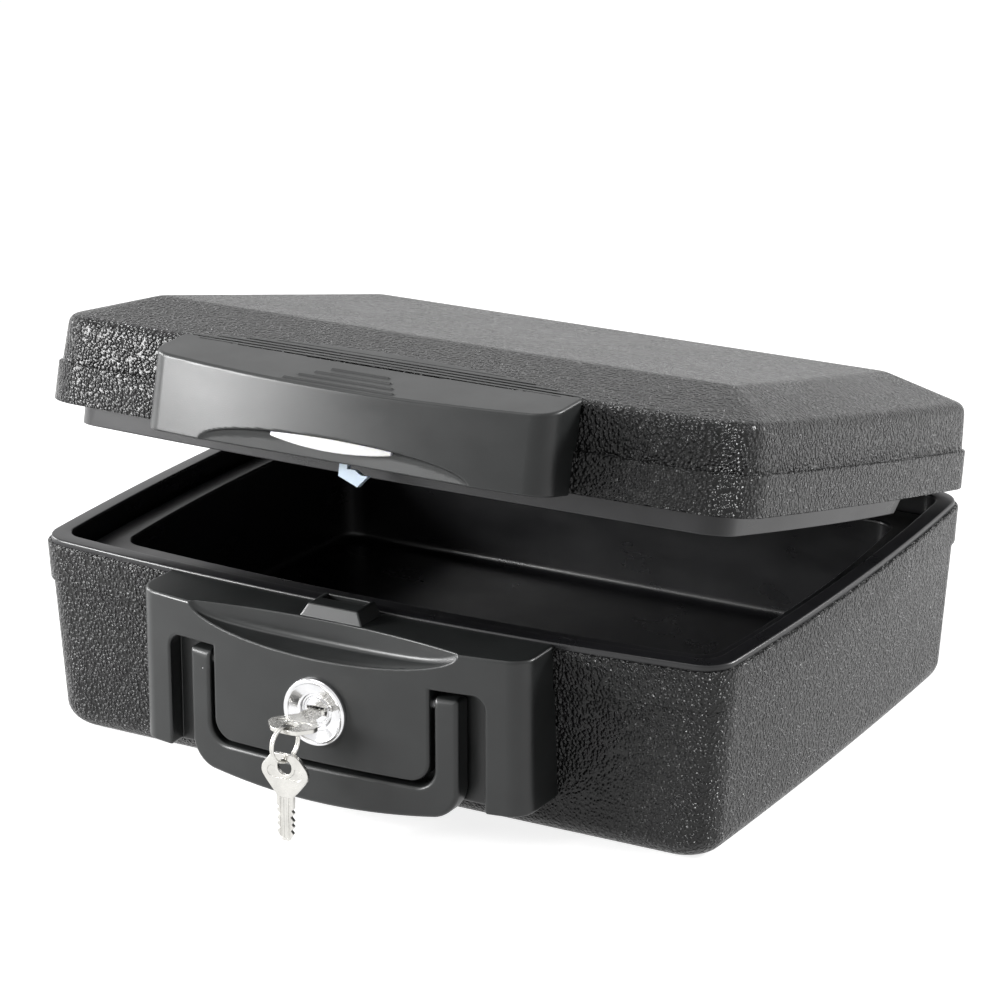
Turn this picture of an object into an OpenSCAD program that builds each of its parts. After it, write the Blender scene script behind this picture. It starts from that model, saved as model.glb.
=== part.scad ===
// Fire-resistant security chest. Two insulated shells close on a rear hinge, and a key lock
// in a front housing holds the lid's hook. The lid is drawn closed and then turned open.
// Front is -Y, the origin is the centre of the underside.

/* [Base] */
// Width over the base at the middle of its sides
body_w = 363; // [340:1:390]
// Depth of the base shell along its centre line
body_d = 277.8; // [260:0.2:300]
// Height of the rim
base_h = 93; // [91:0.5:100]
// Bow of each side at the rim
side_bow = 5.5; // [1:0.1:8]
// Bow of the front at the rim
front_bow = 10.7; // [4:0.1:12]
// Bow of each side at the underside
side_bow_low = 2.2; // [0.5:0.1:5]
// Bow of the front at the underside
front_bow_low = 1; // [0.5:0.1:3]
// Radius of the upright corners
corner_r = 16; // [14:0.5:24]
// Height of the thicker band below the rim
band_h = 21; // [17:0.5:24]
// Inward step below each band
band_step = 1.1; // [0.6:0.1:1.6]
// Inward lean of the band over its height
band_draft = 1; // [0.4:0.1:1.4]
// Inward lean of the wall below the band
wall_draft = 7.5; // [4:0.1:9]
// Radius of the bottom edge
bottom_r = 11; // [8:0.5:12]
// Wall of the outer shells
shell_wall = 2.4; // [2:0.1:2.8]

/* [Liner] */
// Wall of the liners
liner_wall = 2; // [1.6:0.1:2.4]
// Height of the smooth rim above the textured shell
rim_h = 2.8; // [2.4:0.1:3.2]
// Setback of the smooth rim from the shell
rim_setback = 1.6; // [1.2:0.1:2]
// Inset of the inner face of the rim
rim_inset = 9.6; // [9.2:0.1:10]
// Width of the groove inside the rim
groove_w = 2.9; // [2.4:0.1:3.4]
// Depth of the groove below the rim
groove_depth = 12; // [11:0.1:13]
// Depth of the inner collar below the rim
collar_depth = 10; // [9.8:0.1:10.8]
// Inset of the well at the sides
well_side = 23.6; // [20:0.2:28]
// Inset of the well at the front
well_front = 39; // [36:0.5:44]
// Inset of the well at the rear
well_rear = 30; // [26:0.5:34]
// Corner radius of the well
well_r = 11; // [8:0.5:16]
// Height of the well floor above the underside
floor_z = 25; // [20:0.5:32]

/* [Lid] */
// Height of the lid
lid_h = 51.5; // [50:0.5:58]
// Gap between the rim and the closed lid
lid_gap = 0.6; // [0.4:0.1:1]
// How far the lid stands proud of the base
lid_proud = 0.5; // [0.2:0.1:1]
// Bow of the lid's sides
lid_side_bow = 3.4; // [1:0.1:6]
// Bow of the lid's front
lid_front_bow = 9.2; // [4:0.1:11]
// Radius of the lid's upright corners
lid_corner_r = 25; // [20:0.5:32]
// Height of the lid's band
lid_band_h = 18.2; // [16:0.1:20]
// Inward step above the lid's band
lid_step = 1.6; // [1:0.1:2]
// Inward lean of the lid wall above its band
lid_draft = 1.2; // [0.6:0.1:1.8]
// Rise of the roof facets to the flat top
roof_rise = 11.5; // [9:0.1:13]
// Inset of the flat top at its front corners
roof_side = 33; // [28:0.5:38]
// Further inset of the flat top at its rear corners
roof_taper = 9; // [0:0.5:12]
// Distance from the front to the flat top
roof_front = 55; // [48:0.5:62]
// Distance from the rear to the flat top
roof_rear = 33; // [28:0.5:40]
// Inset of the lid's tongue at the sides
tongue_side = 11; // [10.8:0.1:11.8]
// Inset of the lid's tongue at the front
tongue_front = 13; // [12:0.1:14]
// Reach of the tongue below the lid
tongue_h = 10; // [6:0.1:10.2]
// Depth of the recess in the lid
recess_depth = 24; // [18:0.5:26]
// Angle at which the lid stands open
open_angle = 13.2; // [0:0.2:40]

/* [Hinge] */
// Distance of the hinge axis behind the base
hinge_out = 11.05; // [10:0.05:13]
// Distance of the hinge axis below the rim
hinge_drop = 8.8; // [7.8:0.1:9.8]
// Distance of each hinge from the middle
hinge_x = 95; // [60:1:120]
// Width of each hinge
hinge_w = 40; // [32:1:50]
// Thickness of the hinge leaves
leaf_t = 2; // [1.6:0.1:2.4]
// Radius of the hinge knuckles
knuckle_r = 4.2; // [3.8:0.1:4.6]
// Radius of the hinge pins
hinge_pin_r = 2; // [1.6:0.1:2.2]
// Diameter of the screws
screw_d = 3.6; // [3:0.1:4]

/* [Lock housing] */
// Half width of the lock housing
housing_hw = 99; // [95:0.5:104]
// How far the lock housing stands in front of the base
housing_out = 31; // [29:0.5:34]
// Radius of the bowed front of the housing
face_r = 500; // [400:10:700]
// Radius of the housing's front corners
housing_corner_r = 9; // [6:0.5:12]
// Height of the housing's lower edge
housing_z = 20; // [16:0.5:22]
// Drop of the ledge below the rim
ledge_drop = 1; // [0.6:0.1:1.4]
// Wall of the housing and the lid cover
cover_wall = 2.8; // [2.4:0.1:3.2]
// Half length of the finger recess at the ledge
scoop_half = 68.5; // [60:0.5:74]
// Drop of the finger recess at the middle
scoop_drop = 13.3; // [10:0.1:14]
// Depth of the finger recess at the middle
scoop_depth = 13.4; // [9:0.1:13.8]
// Half width of the lid cover
cover_hw = 101.5; // [97:0.5:105]
// Half length of the finger pull below the cover
pull_half = 68.3; // [60:0.1:74]
// Rise of the finger pull at the middle
pull_rise = 10.8; // [8:0.1:12]
// Depth of the finger pull at the middle
pull_depth = 7.2; // [6.5:0.1:8]
// Half width of the tab in the finger pull
tab_hw = 30.6; // [24:0.1:34]

/* [Handle] */
// Half width over the handle
handle_hw = 68.5; // [66:0.5:70]
// Width of each handle arm
arm_w = 11.2; // [10:0.1:12]
// Height of the handle bar
grip_h = 17.5; // [15:0.5:18]
// Height of the handle's lower edge
handle_z = 10.5; // [8:0.5:11]
// Radius of the bowed lower edge of the handle
bar_bow_r = 415; // [350:5:600]
// Thickness of the handle
handle_t = 9.5; // [8:0.1:10]
// Height of the handle's pivot
pivot_z = 66; // [64:0.5:67]
// Gap between the handle arms and the lock panel
arm_gap = 2; // [1.5:0.1:3]
// Finger gap outside each handle arm
finger_gap = 12; // [10:0.5:14]
// Gap between the handle bar and the lock panel
bar_gap = 2; // [1.8:0.1:3]
// Radius of the handle's pivot pins
handle_pin_r = 2.5; // [2:0.1:3]

/* [Lock] */
// Height of the lock's centre
lock_z = 54.5; // [53:0.1:55]
// Diameter of the lock's escutcheon
escutcheon_d = 31.2; // [28:0.1:34]
// Diameter of the lock body
lock_body_d = 22; // [20:0.1:24]
// Diameter of the lock plug
plug_d = 16; // [14:0.1:17]
// Length of the cam from the plug's centre to its tip
cam_len = 37; // [36:0.1:37.2]
// Width of the cam
cam_w = 9; // [8:0.1:10]
// Thickness of the hook plate
hook_t = 3; // [2.5:0.1:3.4]

/* [Keys] */
// Thickness of the keys
key_t = 2; // [1.8:0.1:2.2]
// Width of a key's blade
blade_w = 8.4; // [7.5:0.1:9]
// Width of a key's bow
bow_w = 23.5; // [20:0.1:25]
// Outer diameter of the split ring
ring_d = 17.5; // [16.5:0.1:19]
// Diameter of the ring's wire
wire_d = 1.2; // [1:0.1:1.3]

/* [Hidden] */
$fn = 64;
fine = 128;
fit_gap = 0.3;
seat_gap = 0.1;
head_seat = 0.6;
hinge_screw_len = 8;
running_gap = 0.05;

// Outline of the base
half_w = body_w / 2;
rear_y = (body_d - front_bow) / 2;
front_y = -rear_y - front_bow;
shell_top = base_h - rim_h;
band_z = shell_top - band_h + rim_h;
foot_inset = band_draft + band_step + wall_draft;
rise = 0.6;

// Levels of the liner
groove_z = base_h - groove_depth;
collar_z = base_h - collar_depth;
collar_under = groove_z - liner_wall;
collar_inset = rim_inset + groove_w;
well_draft = 1.5;

// Levels of the lid
lid_z = base_h + lid_gap;
lid_top = lid_z + lid_h;
lid_hw = half_w + lid_proud;
lid_front = front_y - lid_proud;
lid_rear = rear_y + lid_proud;
roof_z = lid_top - roof_rise;
edge_round = 3;
flange_inset = shell_wall + fit_gap;
flange_t = 4;
shelf_side = well_side + 0.4;
shelf_front = well_front - 6;
tongue_end_y = 65;
recess_draft = 3;
ceiling_z = lid_z + recess_depth;

// Hinge axis
hinge_y = rear_y + hinge_out;
hinge_z = base_h - hinge_drop;

// Front housing and cover
face_y = front_y - housing_out;
ledge_z = base_h - ledge_drop;
arm_in = handle_hw - arm_w;
panel_hw = arm_in - arm_gap;
slot_hw = handle_hw + finger_gap;
grip_top = handle_z + grip_h;
panel_z = grip_top + bar_gap;
slot_top = pivot_z + 7.7;
recess_y = face_y + 15.2;
pivot_y = face_y + 9;
arm_top_r = 5.6;
cover_z = lid_z - 1;
cover_top_front = cover_z + 32.5;
cover_slope = 0.25;
cover_rear = lid_front + 23.75;
cover_rear_r = 350;
cover_corner_r = 10;
scoop_end_depth = 1.5;
scoop_slope = 0.2;
pull_end_depth = 1;
pull_slope = 0.6;
recess_lip = 3.4;
lip_slope = 0.1;
boss_r = 4.5;
front_screw_len = 17;

// Lock parts along their axis
nut_t = 6;
nut_seat = 0.4;
body_len = 18.5;
cam_t = 2;
cam_y = face_y + 19.8;
finger_t = 2.2;
finger_w = 5;
hook_y = face_y + 26.3;
plug_recess = 2.5;
tail_w = 7;

// Keys and ring
key_y = face_y - 8;
bow_len = 19;
key_blade = 22;
spare_blade = 21.5;
hole_r = 3.2;
hole_y = key_y - 12.5;
land_y = (key_y - bow_len + hole_y - hole_r) / 2;
ring_in_r = ring_d / 2 - wire_d;
ring_z = lock_z + key_t / 2 + fit_gap - ring_in_r;
ring_turn = 12;
spare_hole_r = 3.6;
spare_hole_z = ring_z - ring_in_r + 0.6 - spare_hole_r;

function mix(a, b, t) = a + (b - a) * t;
// Radius of an arc with the given half chord and rise
function bow_radius(half, bow) = (half * half + bow * bow) / (2 * bow);
function sag(radius, offset) = radius - sqrt(radius * radius - offset * offset);

// Points of an arc about a centre, both ends included
function arc(cx, cy, r, a0, a1, steps) =
    [for (i = [0:steps]) let (a = mix(a0, a1, i / steps)) [cx + r * cos(a), cy + r * sin(a)]];

// Right half of a bowed rectangle with round corners, from the front middle to the rear middle
function half_outline(hw, y0, y1, sb, fb, rb, r) =
    let (
        mid = (y0 + y1) / 2,
        side_r = bow_radius((y1 - y0) / 2, sb),
        front_r = bow_radius(hw, fb),
        back_r = bow_radius(hw, rb),
        x_a = hw - r - sag(side_r - r, (y1 - y0) / 2 - r),
        fy_a = y0 + r + sag(front_r - r, x_a),
        ry_a = y1 - r - sag(back_r - r, x_a),
        fx = hw - r - sag(side_r - r, fy_a - mid),
        fy = y0 + r + sag(front_r - r, fx),
        rx = hw - r - sag(side_r - r, ry_a - mid),
        ry = y1 - r - sag(back_r - r, rx),
        a_front = -90 + asin(fx / (front_r - r)),
        a_side0 = asin((fy - mid) / (side_r - r)),
        a_side1 = asin((ry - mid) / (side_r - r)),
        a_rear = 90 - asin(rx / (back_r - r)),
        front = arc(0, y0 + front_r, front_r, -90, a_front, 5),
        side = arc(hw - side_r, mid, side_r, a_side0, a_side1, 6),
        back = arc(0, y1 - back_r, back_r, a_rear, 90, 5)
    )
    concat([for (i = [0:4]) front[i]], arc(fx, fy, r, a_front, a_side0, 6),
        [for (i = [1:5]) side[i]], arc(rx, ry, r, a_side1, a_rear, 6),
        [for (i = [1:5]) back[i]]);

// Full ring at height z, anticlockwise from above
function ring(z, hw, y0, y1, sb, fb, rb, r) =
    let (
        right = half_outline(hw, y0, y1, sb, fb, rb, r),
        last = len(right) - 1
    )
    concat([for (p = right) [p[0], p[1], z]],
        [for (i = [last - 1:-1:1]) [-right[i][0], right[i][1], z]]);

// Ring of the base shell: lean runs from 0 at the band to 1 at the underside
function base_ring(z, inset, lean = 0) =
    ring(z, half_w - inset - lean * wall_draft, front_y + inset + lean * wall_draft,
        rear_y - inset, mix(side_bow, side_bow_low, lean),
        mix(front_bow, front_bow_low, lean), 0.5, max(2, corner_r + lean * 2 - inset * 0.6));

// Ring with separate insets at the sides, front and rear
function inner_ring(z, side, front, back, r) =
    ring(z, half_w - side, front_y + front, rear_y - back, side_bow, front_bow * 0.8, 0.5, r);

function lid_ring(z, inset) =
    ring(z, lid_hw - inset, lid_front + inset, lid_rear - inset, lid_side_bow, lid_front_bow,
        0.5, max(2, lid_corner_r - inset));

// Ring inside the lid, with its own insets at the sides and the front
function lid_inner_ring(z, side, front, back, r) =
    ring(z, lid_hw - side, lid_front + front, lid_rear - back, side_bow, lid_front_bow,
        0.5, r);

// Outline of the flat top, narrower to the rear
function roof_ring(z, inset) =
    let (y0 = lid_front + roof_front + inset, y1 = lid_rear - roof_rear - inset)
    [for (p = ring(z, lid_hw - roof_side - inset, y0, y1, 0.4, 1, 0.5, 3))
        let (t = (p[1] - y0) / (y1 - y0), w = lid_hw - roof_side)
        [p[0] * (1 - t * roof_taper / w), p[1], p[2]]];

// Closed solid through a stack of rings; its quads split the same way up or down a wall
module loft(rings) {
    n = len(rings[0]);
    last = len(rings) - 1;
    sides = [for (k = [0:last - 1], i = [0:n - 1])
        let (j = (i + 1) % n, a = k * n + i, b = a + n, c = (k + 1) * n + j, d = k * n + j)
        each rings[k + 1][0][2] < rings[k][0][2] ? [[a, b, d], [b, c, d]] : [[a, b, c], [a, c, d]]];
    polyhedron([for (r = rings) each r],
        concat([[for (i = [0:n - 1]) i]], sides, [[for (i = [n - 1:-1:0]) last * n + i]]));
}

// Draws the lid's pieces, which are modelled closed, at the angle where the lid stands
module opened() {
    translate([0, hinge_y, hinge_z])
        rotate([-open_angle, 0, 0])
            translate([0, -hinge_y, -hinge_z])
                children();
}

module mirrored() {
    children();
    mirror([1, 0, 0]) children();
}

// Cylinder along +Y from a point
module along_y(x, y, z, r, length, sides = 48) {
    translate([x, y, z]) rotate([-90, 0, 0]) cylinder(r = r, h = length, $fn = sides);
}

// Cylinder along +X from a point
module along_x(x, y, z, r, length) {
    translate([x, y, z]) rotate([0, 90, 0]) cylinder(r = r, h = length, $fn = 48);
}

// Pan-head screw from under its head, along +Y or, with out = -1, along -Y
module screw(x, y, z, length, out = 1) {
    translate([x, y, z]) rotate([-90 * out, 0, 0]) {
        cylinder(d = screw_d, h = length, $fn = 32);
        translate([0, 0, -screw_d * 0.6])
            difference() {
                cylinder(d = screw_d * 2, h = screw_d * 0.6, $fn = 32);
                for (a = [0, 90])
                    rotate(a)
                        translate([-screw_d * 0.6, -screw_d * 0.1, -1])
                            cube([screw_d * 1.2, screw_d * 0.2, 1 + screw_d * 0.3]);
            }
    }
}

// Places of the fasteners
housing_screw_at = [for (x = [-88, 88], z = [housing_z + 12, ledge_z - 10]) [x, z]];
cover_screw_at = [for (x = [-88, -54, 54, 88]) [x, lid_z + 12]];
hook_screw_at = [lid_z + 8.4, lid_z + 16.4];
hinge_screw_dx = hinge_w * 0.32;
base_leaf_z = hinge_z - knuckle_r - screw_d - 0.7;
lid_leaf_z = lid_z + 9;

// Outer surface of the base, also used to fit what stands against it
module base_envelope(grow, top) {
    loft([
        base_ring(-1, foot_inset - wall_draft - grow, 1),
        base_ring(band_z - rise, band_draft + band_step - grow, 0),
        base_ring(band_z, band_draft - grow),
        base_ring(shell_top + grow, -grow),
        base_ring(top, -grow)
    ]);
}

module lid_envelope(grow) {
    loft([
        lid_ring(lid_z - 20, -grow),
        lid_ring(lid_z + lid_band_h + grow, -grow),
        lid_ring(lid_z + lid_band_h + rise + grow, lid_step - grow),
        lid_ring(roof_z - edge_round + grow, lid_step + lid_draft - grow),
        lid_ring(roof_z - edge_round * 0.3 + grow, lid_step + lid_draft + edge_round * 0.3 - grow),
        lid_ring(roof_z + grow, lid_step + lid_draft + edge_round - grow),
        roof_ring(lid_top + grow, 0)
    ]);
}

module base_shell() {
    lower = band_draft + band_step;
    inner_r = bottom_r - shell_wall;
    color([0.1, 0.1, 0.11])
        difference() {
            loft(concat(
                [for (a = [0, 30, 60, 90])
                    let (z = bottom_r * (1 - cos(a)))
                    base_ring(z, lower + bottom_r * (1 - sin(a)), 1 - z / band_z)],
                [base_ring(band_z - rise, lower), base_ring(band_z, band_draft),
                 base_ring(shell_top - 0.8, 0), base_ring(shell_top, 0.5),
                 base_ring(shell_top, shell_wall),
                 base_ring(band_z, lower + shell_wall)],
                [for (a = [90, 45, 0])
                    let (z = shell_wall + inner_r * (1 - cos(a)))
                    base_ring(z, lower + shell_wall + inner_r * (1 - sin(a)), 1 - z / band_z)]
            ));
            for (at = housing_screw_at)
                along_y(at[0], front_y - 1, at[1], screw_d / 2 + running_gap, 24, 32);
            hinge_holes(rear_y - 6, base_leaf_z, 10);
        }
}

// Clearance holes behind both hinge leaves
module hinge_holes(y, z, length) {
    for (side = [-1, 1], dx = [-1, 1])
        along_y(side * hinge_x + dx * hinge_screw_dx, y, z, screw_d / 2 + running_gap, length, 32);
}

module base_insulation() {
    lower = band_draft + band_step + shell_wall + fit_gap;
    inner_r = bottom_r - shell_wall - fit_gap;
    bed = shell_wall + fit_gap;
    side = well_side - liner_wall - fit_gap;
    front = well_front - liner_wall - fit_gap;
    back = well_rear - liner_wall - fit_gap;
    color([0.78, 0.76, 0.7])
        difference() {
            loft([
                base_ring(bed, lower + inner_r, 1 - bed / band_z),
                base_ring(bed + inner_r * 0.293, lower + inner_r * 0.293,
                    1 - (bed + inner_r * 0.293) / band_z),
                base_ring(bed + inner_r, lower, 1 - (bed + inner_r) / band_z),
                base_ring(band_z - 1, lower),
                base_ring(shell_top - fit_gap, lower),
                base_ring(shell_top - fit_gap, rim_inset - liner_wall - fit_gap),
                base_ring(collar_under - fit_gap, rim_inset - liner_wall - fit_gap),
                inner_ring(collar_under - fit_gap, side, front, back, well_r + 3),
                inner_ring(floor_z - liner_wall - fit_gap, side + well_draft,
                    front + well_draft, back + well_draft, well_r + 2)
            ]);
            for (at = housing_screw_at)
                along_y(at[0], front_y, at[1], screw_d + 0.8, front_screw_len, 32);
            hinge_holes(rear_y - 14, base_leaf_z, 16);
        }
}

module base_liner() {
    color([0.06, 0.06, 0.065])
        loft([
            inner_ring(floor_z - liner_wall, well_side - liner_wall + well_draft,
                well_front - liner_wall + well_draft, well_rear - liner_wall + well_draft,
                well_r + 2),
            inner_ring(collar_under, well_side - liner_wall, well_front - liner_wall,
                well_rear - liner_wall, well_r + 3),
            base_ring(collar_under, rim_inset - liner_wall),
            base_ring(shell_top, rim_inset - liner_wall),
            base_ring(shell_top, rim_setback),
            base_ring(base_h - 0.5, rim_setback),
            base_ring(base_h, rim_setback + 0.5),
            base_ring(base_h, rim_inset),
            base_ring(groove_z, rim_inset),
            base_ring(groove_z, collar_inset),
            base_ring(collar_z, collar_inset),
            inner_ring(collar_z, well_side, well_front, well_rear, well_r),
            inner_ring(floor_z + 4, well_side + well_draft - 0.1, well_front + well_draft - 0.1,
                well_rear + well_draft - 0.1, well_r),
            inner_ring(floor_z, well_side + well_draft + 3, well_front + well_draft + 3,
                well_rear + well_draft + 3, well_r - 2)
        ]);
}

// Plan of the housing and the cover: a bowed front with round corners
module front_plan(hw, front, back, r) {
    intersection() {
        union() {
            translate([-hw, front + r + 4]) square([2 * hw, back - front - r - 4]);
            translate([-hw + r, front - 1]) square([2 * (hw - r), back - front + 1]);
            for (side = [-1, 1])
                translate([side * (hw - r), front + sag(face_r, hw - r) + r]) circle(r, $fn = 64);
        }
        translate([0, front + face_r]) circle(face_r, $fn = 512);
    }
}

// Section of a finger recess at angle a along its half ellipse. The rim lies on the bowed
// face, and up is 1 for a recess below a top edge and -1 for one above a lower edge.
function recess_ring(a, edge_z, half, drop, depth, end_depth, slope, up) =
    let (
        x = half * sin(a),
        y = face_y + sag(face_r, x),
        deep = mix(depth, end_depth, pow(sin(a), 2)),
        near = min(recess_lip, deep / 2),
        fall = (drop + seat_gap) * cos(a) - seat_gap,
        fall_near = fall - lip_slope * near,
        fall_deep = fall_near - slope * (deep - near),
        ahead = 6,
        above = 8,
        ring = [[x, y - ahead, edge_z - up * (fall + lip_slope * ahead)],
            [x, y + near, edge_z - up * fall_near], [x, y + deep, edge_z - up * fall_deep],
            [x, y + deep, edge_z + up * above], [x, y - ahead, edge_z + up * above]]
    )
    up > 0 ? ring : [for (i = [4:-1:0]) ring[i]];

module scoop(edge_z) {
    loft([for (a = [-90:7.5:90])
        recess_ring(a, edge_z, scoop_half, scoop_drop, scoop_depth, scoop_end_depth,
            scoop_slope, 1)]);
}

module finger_pull() {
    loft([for (a = [-90:7.5:90])
        recess_ring(a, cover_z, pull_half, pull_rise, pull_depth, pull_end_depth, pull_slope, -1)]);
}

module handle_slot(deep) {
    // Side slots and the space round the bar, open at the bottom
    round_r = 6;
    translate([0, face_y - 5, 0])
        rotate([-90, 0, 0])
            linear_extrude(deep + 5)
                difference() {
                    union() {
                        translate([-slot_hw, -slot_top + round_r])
                            square([2 * slot_hw, slot_top - round_r + 5]);
                        translate([-slot_hw + round_r, -slot_top])
                            square([2 * (slot_hw - round_r), slot_top]);
                        for (side = [-1, 1])
                            translate([side * (slot_hw - round_r), -slot_top + round_r])
                                circle(round_r, $fn = 48);
                    }
                    panel_plan();
                }
}

// Front view of the lock panel between the handle arms, with round lower corners
module panel_plan(inset = 0) {
    round_r = 10;
    hw = panel_hw - inset;
    low = panel_z + inset;
    translate([-hw, -slot_top - 20]) square([2 * hw, slot_top + 20 - low - round_r]);
    translate([-hw + round_r, -slot_top]) square([2 * (hw - round_r), slot_top - low]);
    for (side = [-1, 1])
        translate([side * (hw - round_r), -low - round_r]) circle(round_r, $fn = 48);
}

module lock_housing() {
    inside = face_y + cover_wall;
    back = front_y + 12;
    color([0.09, 0.095, 0.1])
        difference() {
            union() {
                difference() {
                    translate([0, 0, housing_z])
                        linear_extrude(ledge_z - housing_z)
                            front_plan(housing_hw, face_y, back, housing_corner_r);
                    scoop(ledge_z);
                    handle_slot(recess_y - face_y);
                    // Hollow behind the handle recess
                    translate([-housing_hw + cover_wall, recess_y + cover_wall,
                        housing_z + cover_wall])
                        cube([2 * (housing_hw - cover_wall), 60,
                            ledge_z - housing_z - 2 * cover_wall]);
                    // Hollow behind the lock panel
                    intersection() {
                        translate([0, 0, housing_z])
                            linear_extrude(slot_top + 3 - housing_z)
                                front_plan(housing_hw, inside, back, housing_corner_r);
                        translate([0, face_y, 0])
                            rotate([-90, 0, 0])
                                linear_extrude(40)
                                    panel_plan(cover_wall);
                    }
                    // Hollows outside the handle slots
                    for (side = [-1, 1])
                        translate([side * (slot_hw + housing_hw) / 2, face_y + 24,
                            (housing_z + slot_top) / 2])
                            cube([housing_hw - slot_hw - 2 * cover_wall, 28,
                                slot_top - housing_z - 2 * cover_wall], center = true);
                }
                // Bosses for the screws and the handle pins
                for (at = housing_screw_at)
                    let (y = face_y + sag(face_r, at[0]) + cover_wall / 2)
                        along_y(at[0], y, at[1], boss_r, front_y + 12 - y);
                mirrored()
                    along_x(panel_hw - 8, pivot_y, pivot_z, boss_r, 8);
            }
            for (at = housing_screw_at)
                along_y(at[0], recess_y + 4, at[1], screw_d / 2 + running_gap, 40, 32);
            mirrored()
                along_x(panel_hw - 8 - 1, pivot_y, pivot_z, handle_pin_r, 12);
            along_y(0, face_y - 1, lock_z, lock_body_d / 2 + seat_gap, 14, fine);
            // Way through the ledge for the hook and the cam's finger
            translate([-12, cam_y - 1.5, ledge_z - 10])
                cube([27, hook_y + 4.2 - cam_y, 12]);
            base_envelope(seat_gap, shell_top + 0.2);
            loft([base_ring(shell_top, rim_setback - 0.2), base_ring(base_h + 1, rim_setback - 0.2)]);
        }
}

receiver_z = ledge_z;
receiver_h = 6;
receiver_hw = 16;
receiver_front = face_y + 13.6;
receiver_back = front_y - 0.8;
slot_hw_x = 10.5;

module latch_receiver() {
    lean = 3.4;
    color([0.12, 0.12, 0.13])
        difference() {
            translate([0, receiver_back, receiver_z])
                rotate([90, 0, 0])
                    linear_extrude(receiver_back - receiver_front)
                        polygon([[-receiver_hw, 0], [receiver_hw, 0],
                            [receiver_hw - lean, receiver_h], [-receiver_hw + lean, receiver_h]]);
            // Sloped front
            translate([-receiver_hw - 1, receiver_front, receiver_z + 1.5])
                rotate([-70, 0, 0])
                    translate([0, -8, 0])
                        cube([2 * receiver_hw + 2, 8, 12]);
            // Room for the cam's finger, and the slot for the hook
            translate([-12, cam_y - 1.5, receiver_z - 1])
                cube([25, hook_y + 4.2 - cam_y, 2.2]);
            translate([-slot_hw_x, hook_y - 2.7, receiver_z])
                cube([2 * slot_hw_x, 5.4, receiver_h + 1]);
        }
}

// Front view of the handle: two arms and a bar with a bowed lower edge and round corners
module handle_plan() {
    outer_r = 12;
    inner_r = 9;
    top_r = 2;
    top = pivot_z + arm_w / 2 - 0.8;
    corner_x = handle_hw - outer_r;
    bow_z = handle_z + bar_bow_r;
    corner_z = bow_z - sqrt(pow(bar_bow_r - outer_r, 2) - corner_x * corner_x);
    for (x = [-handle_hw, handle_hw - arm_w])
        hull() {
            for (dx = [top_r, arm_w - top_r])
                translate([x + dx, -top + top_r]) circle(top_r, $fn = 32);
            translate([x, -corner_z - 1]) square([arm_w, 1]);
        }
    difference() {
        hull() {
            for (side = [-1, 1])
                translate([side * corner_x, -corner_z]) circle(outer_r);
            intersection() {
                translate([0, -bow_z]) circle(bar_bow_r, $fn = 720);
                translate([-corner_x, -corner_z]) square([2 * corner_x, 2 * outer_r]);
            }
        }
        hull() {
            for (side = [-1, 1])
                translate([side * (arm_in - inner_r), -grip_top - inner_r]) circle(inner_r);
            translate([-arm_in, -top]) square([2 * arm_in, 1]);
        }
    }
}

module carry_handle() {
    round_z = pivot_z + 20;
    color([0.09, 0.095, 0.1])
        difference() {
            intersection() {
                translate([0, face_y - 5, 0])
                    rotate([-90, 0, 0])
                        linear_extrude(30)
                            handle_plan();
                translate([0, face_y + face_r, 0])
                    cylinder(r = face_r, h = round_z, $fn = 512);
            }
            translate([0, face_y + face_r, -1])
                cylinder(r = face_r - handle_t, h = round_z, $fn = 512);
            mirrored()
                along_x(arm_in - 1, pivot_y, pivot_z, handle_pin_r + running_gap, arm_w - 1);
            // Arm tops round about the pivot
            difference() {
                translate([-handle_hw - 1, face_y - 10, pivot_z])
                    cube([2 * handle_hw + 2, 40, 20]);
                along_x(-handle_hw - 1, pivot_y, pivot_z, arm_top_r, 2 * handle_hw + 2);
            }
        }
}

module handle_pins() {
    color([0.6, 0.6, 0.62])
        mirrored()
            along_x(panel_hw - 8, pivot_y, pivot_z, handle_pin_r, handle_hw - 2.4 - panel_hw + 8);
}

module lock_cylinder() {
    lip = 2;
    color([0.75, 0.76, 0.78])
        difference() {
            union() {
                translate([0, face_y, lock_z])
                    rotate([90, 0, 0])
                        rotate_extrude($fn = fine)
                            polygon([[0, 0], [escutcheon_d / 2, 0], [escutcheon_d / 2, 1.6],
                                [escutcheon_d / 2 - 0.8, 2.4], [escutcheon_d / 2 - lip, 2.4],
                                [plug_d / 2 + 0.6, 0.2], [0, 0.2]]);
                along_y(0, face_y, lock_z, lock_body_d / 2, body_len, fine);
            }
            along_y(0, face_y - 4, lock_z, plug_d / 2 + running_gap, body_len + 10, fine);
        }
}

module lock_plug() {
    keyway = key_t + 0.4;
    color([0.7, 0.71, 0.73])
        difference() {
            union() {
                along_y(0, face_y + plug_recess - 1.5, lock_z, plug_d / 2, body_len - plug_recess + 1.6,
                    fine);
                // Square tail for the cam
                translate([-tail_w / 2, cam_y - 2, lock_z - tail_w / 2])
                    cube([tail_w, 2 + cam_t, tail_w]);
            }
            translate([-blade_w / 2 - 0.2, face_y - 4, lock_z - keyway / 2])
                cube([blade_w + 0.4, body_len, keyway]);
            along_y(0, cam_y - 4, lock_z, 1.5 + running_gap, 10, 32);
        }
}

module lock_nut() {
    color([0.65, 0.66, 0.68])
        difference() {
            along_y(0, face_y + cover_wall + nut_seat, lock_z, lock_body_d / 2 + 5, nut_t, 6);
            along_y(0, face_y, lock_z, lock_body_d / 2 + running_gap, 20, fine);
        }
}

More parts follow.
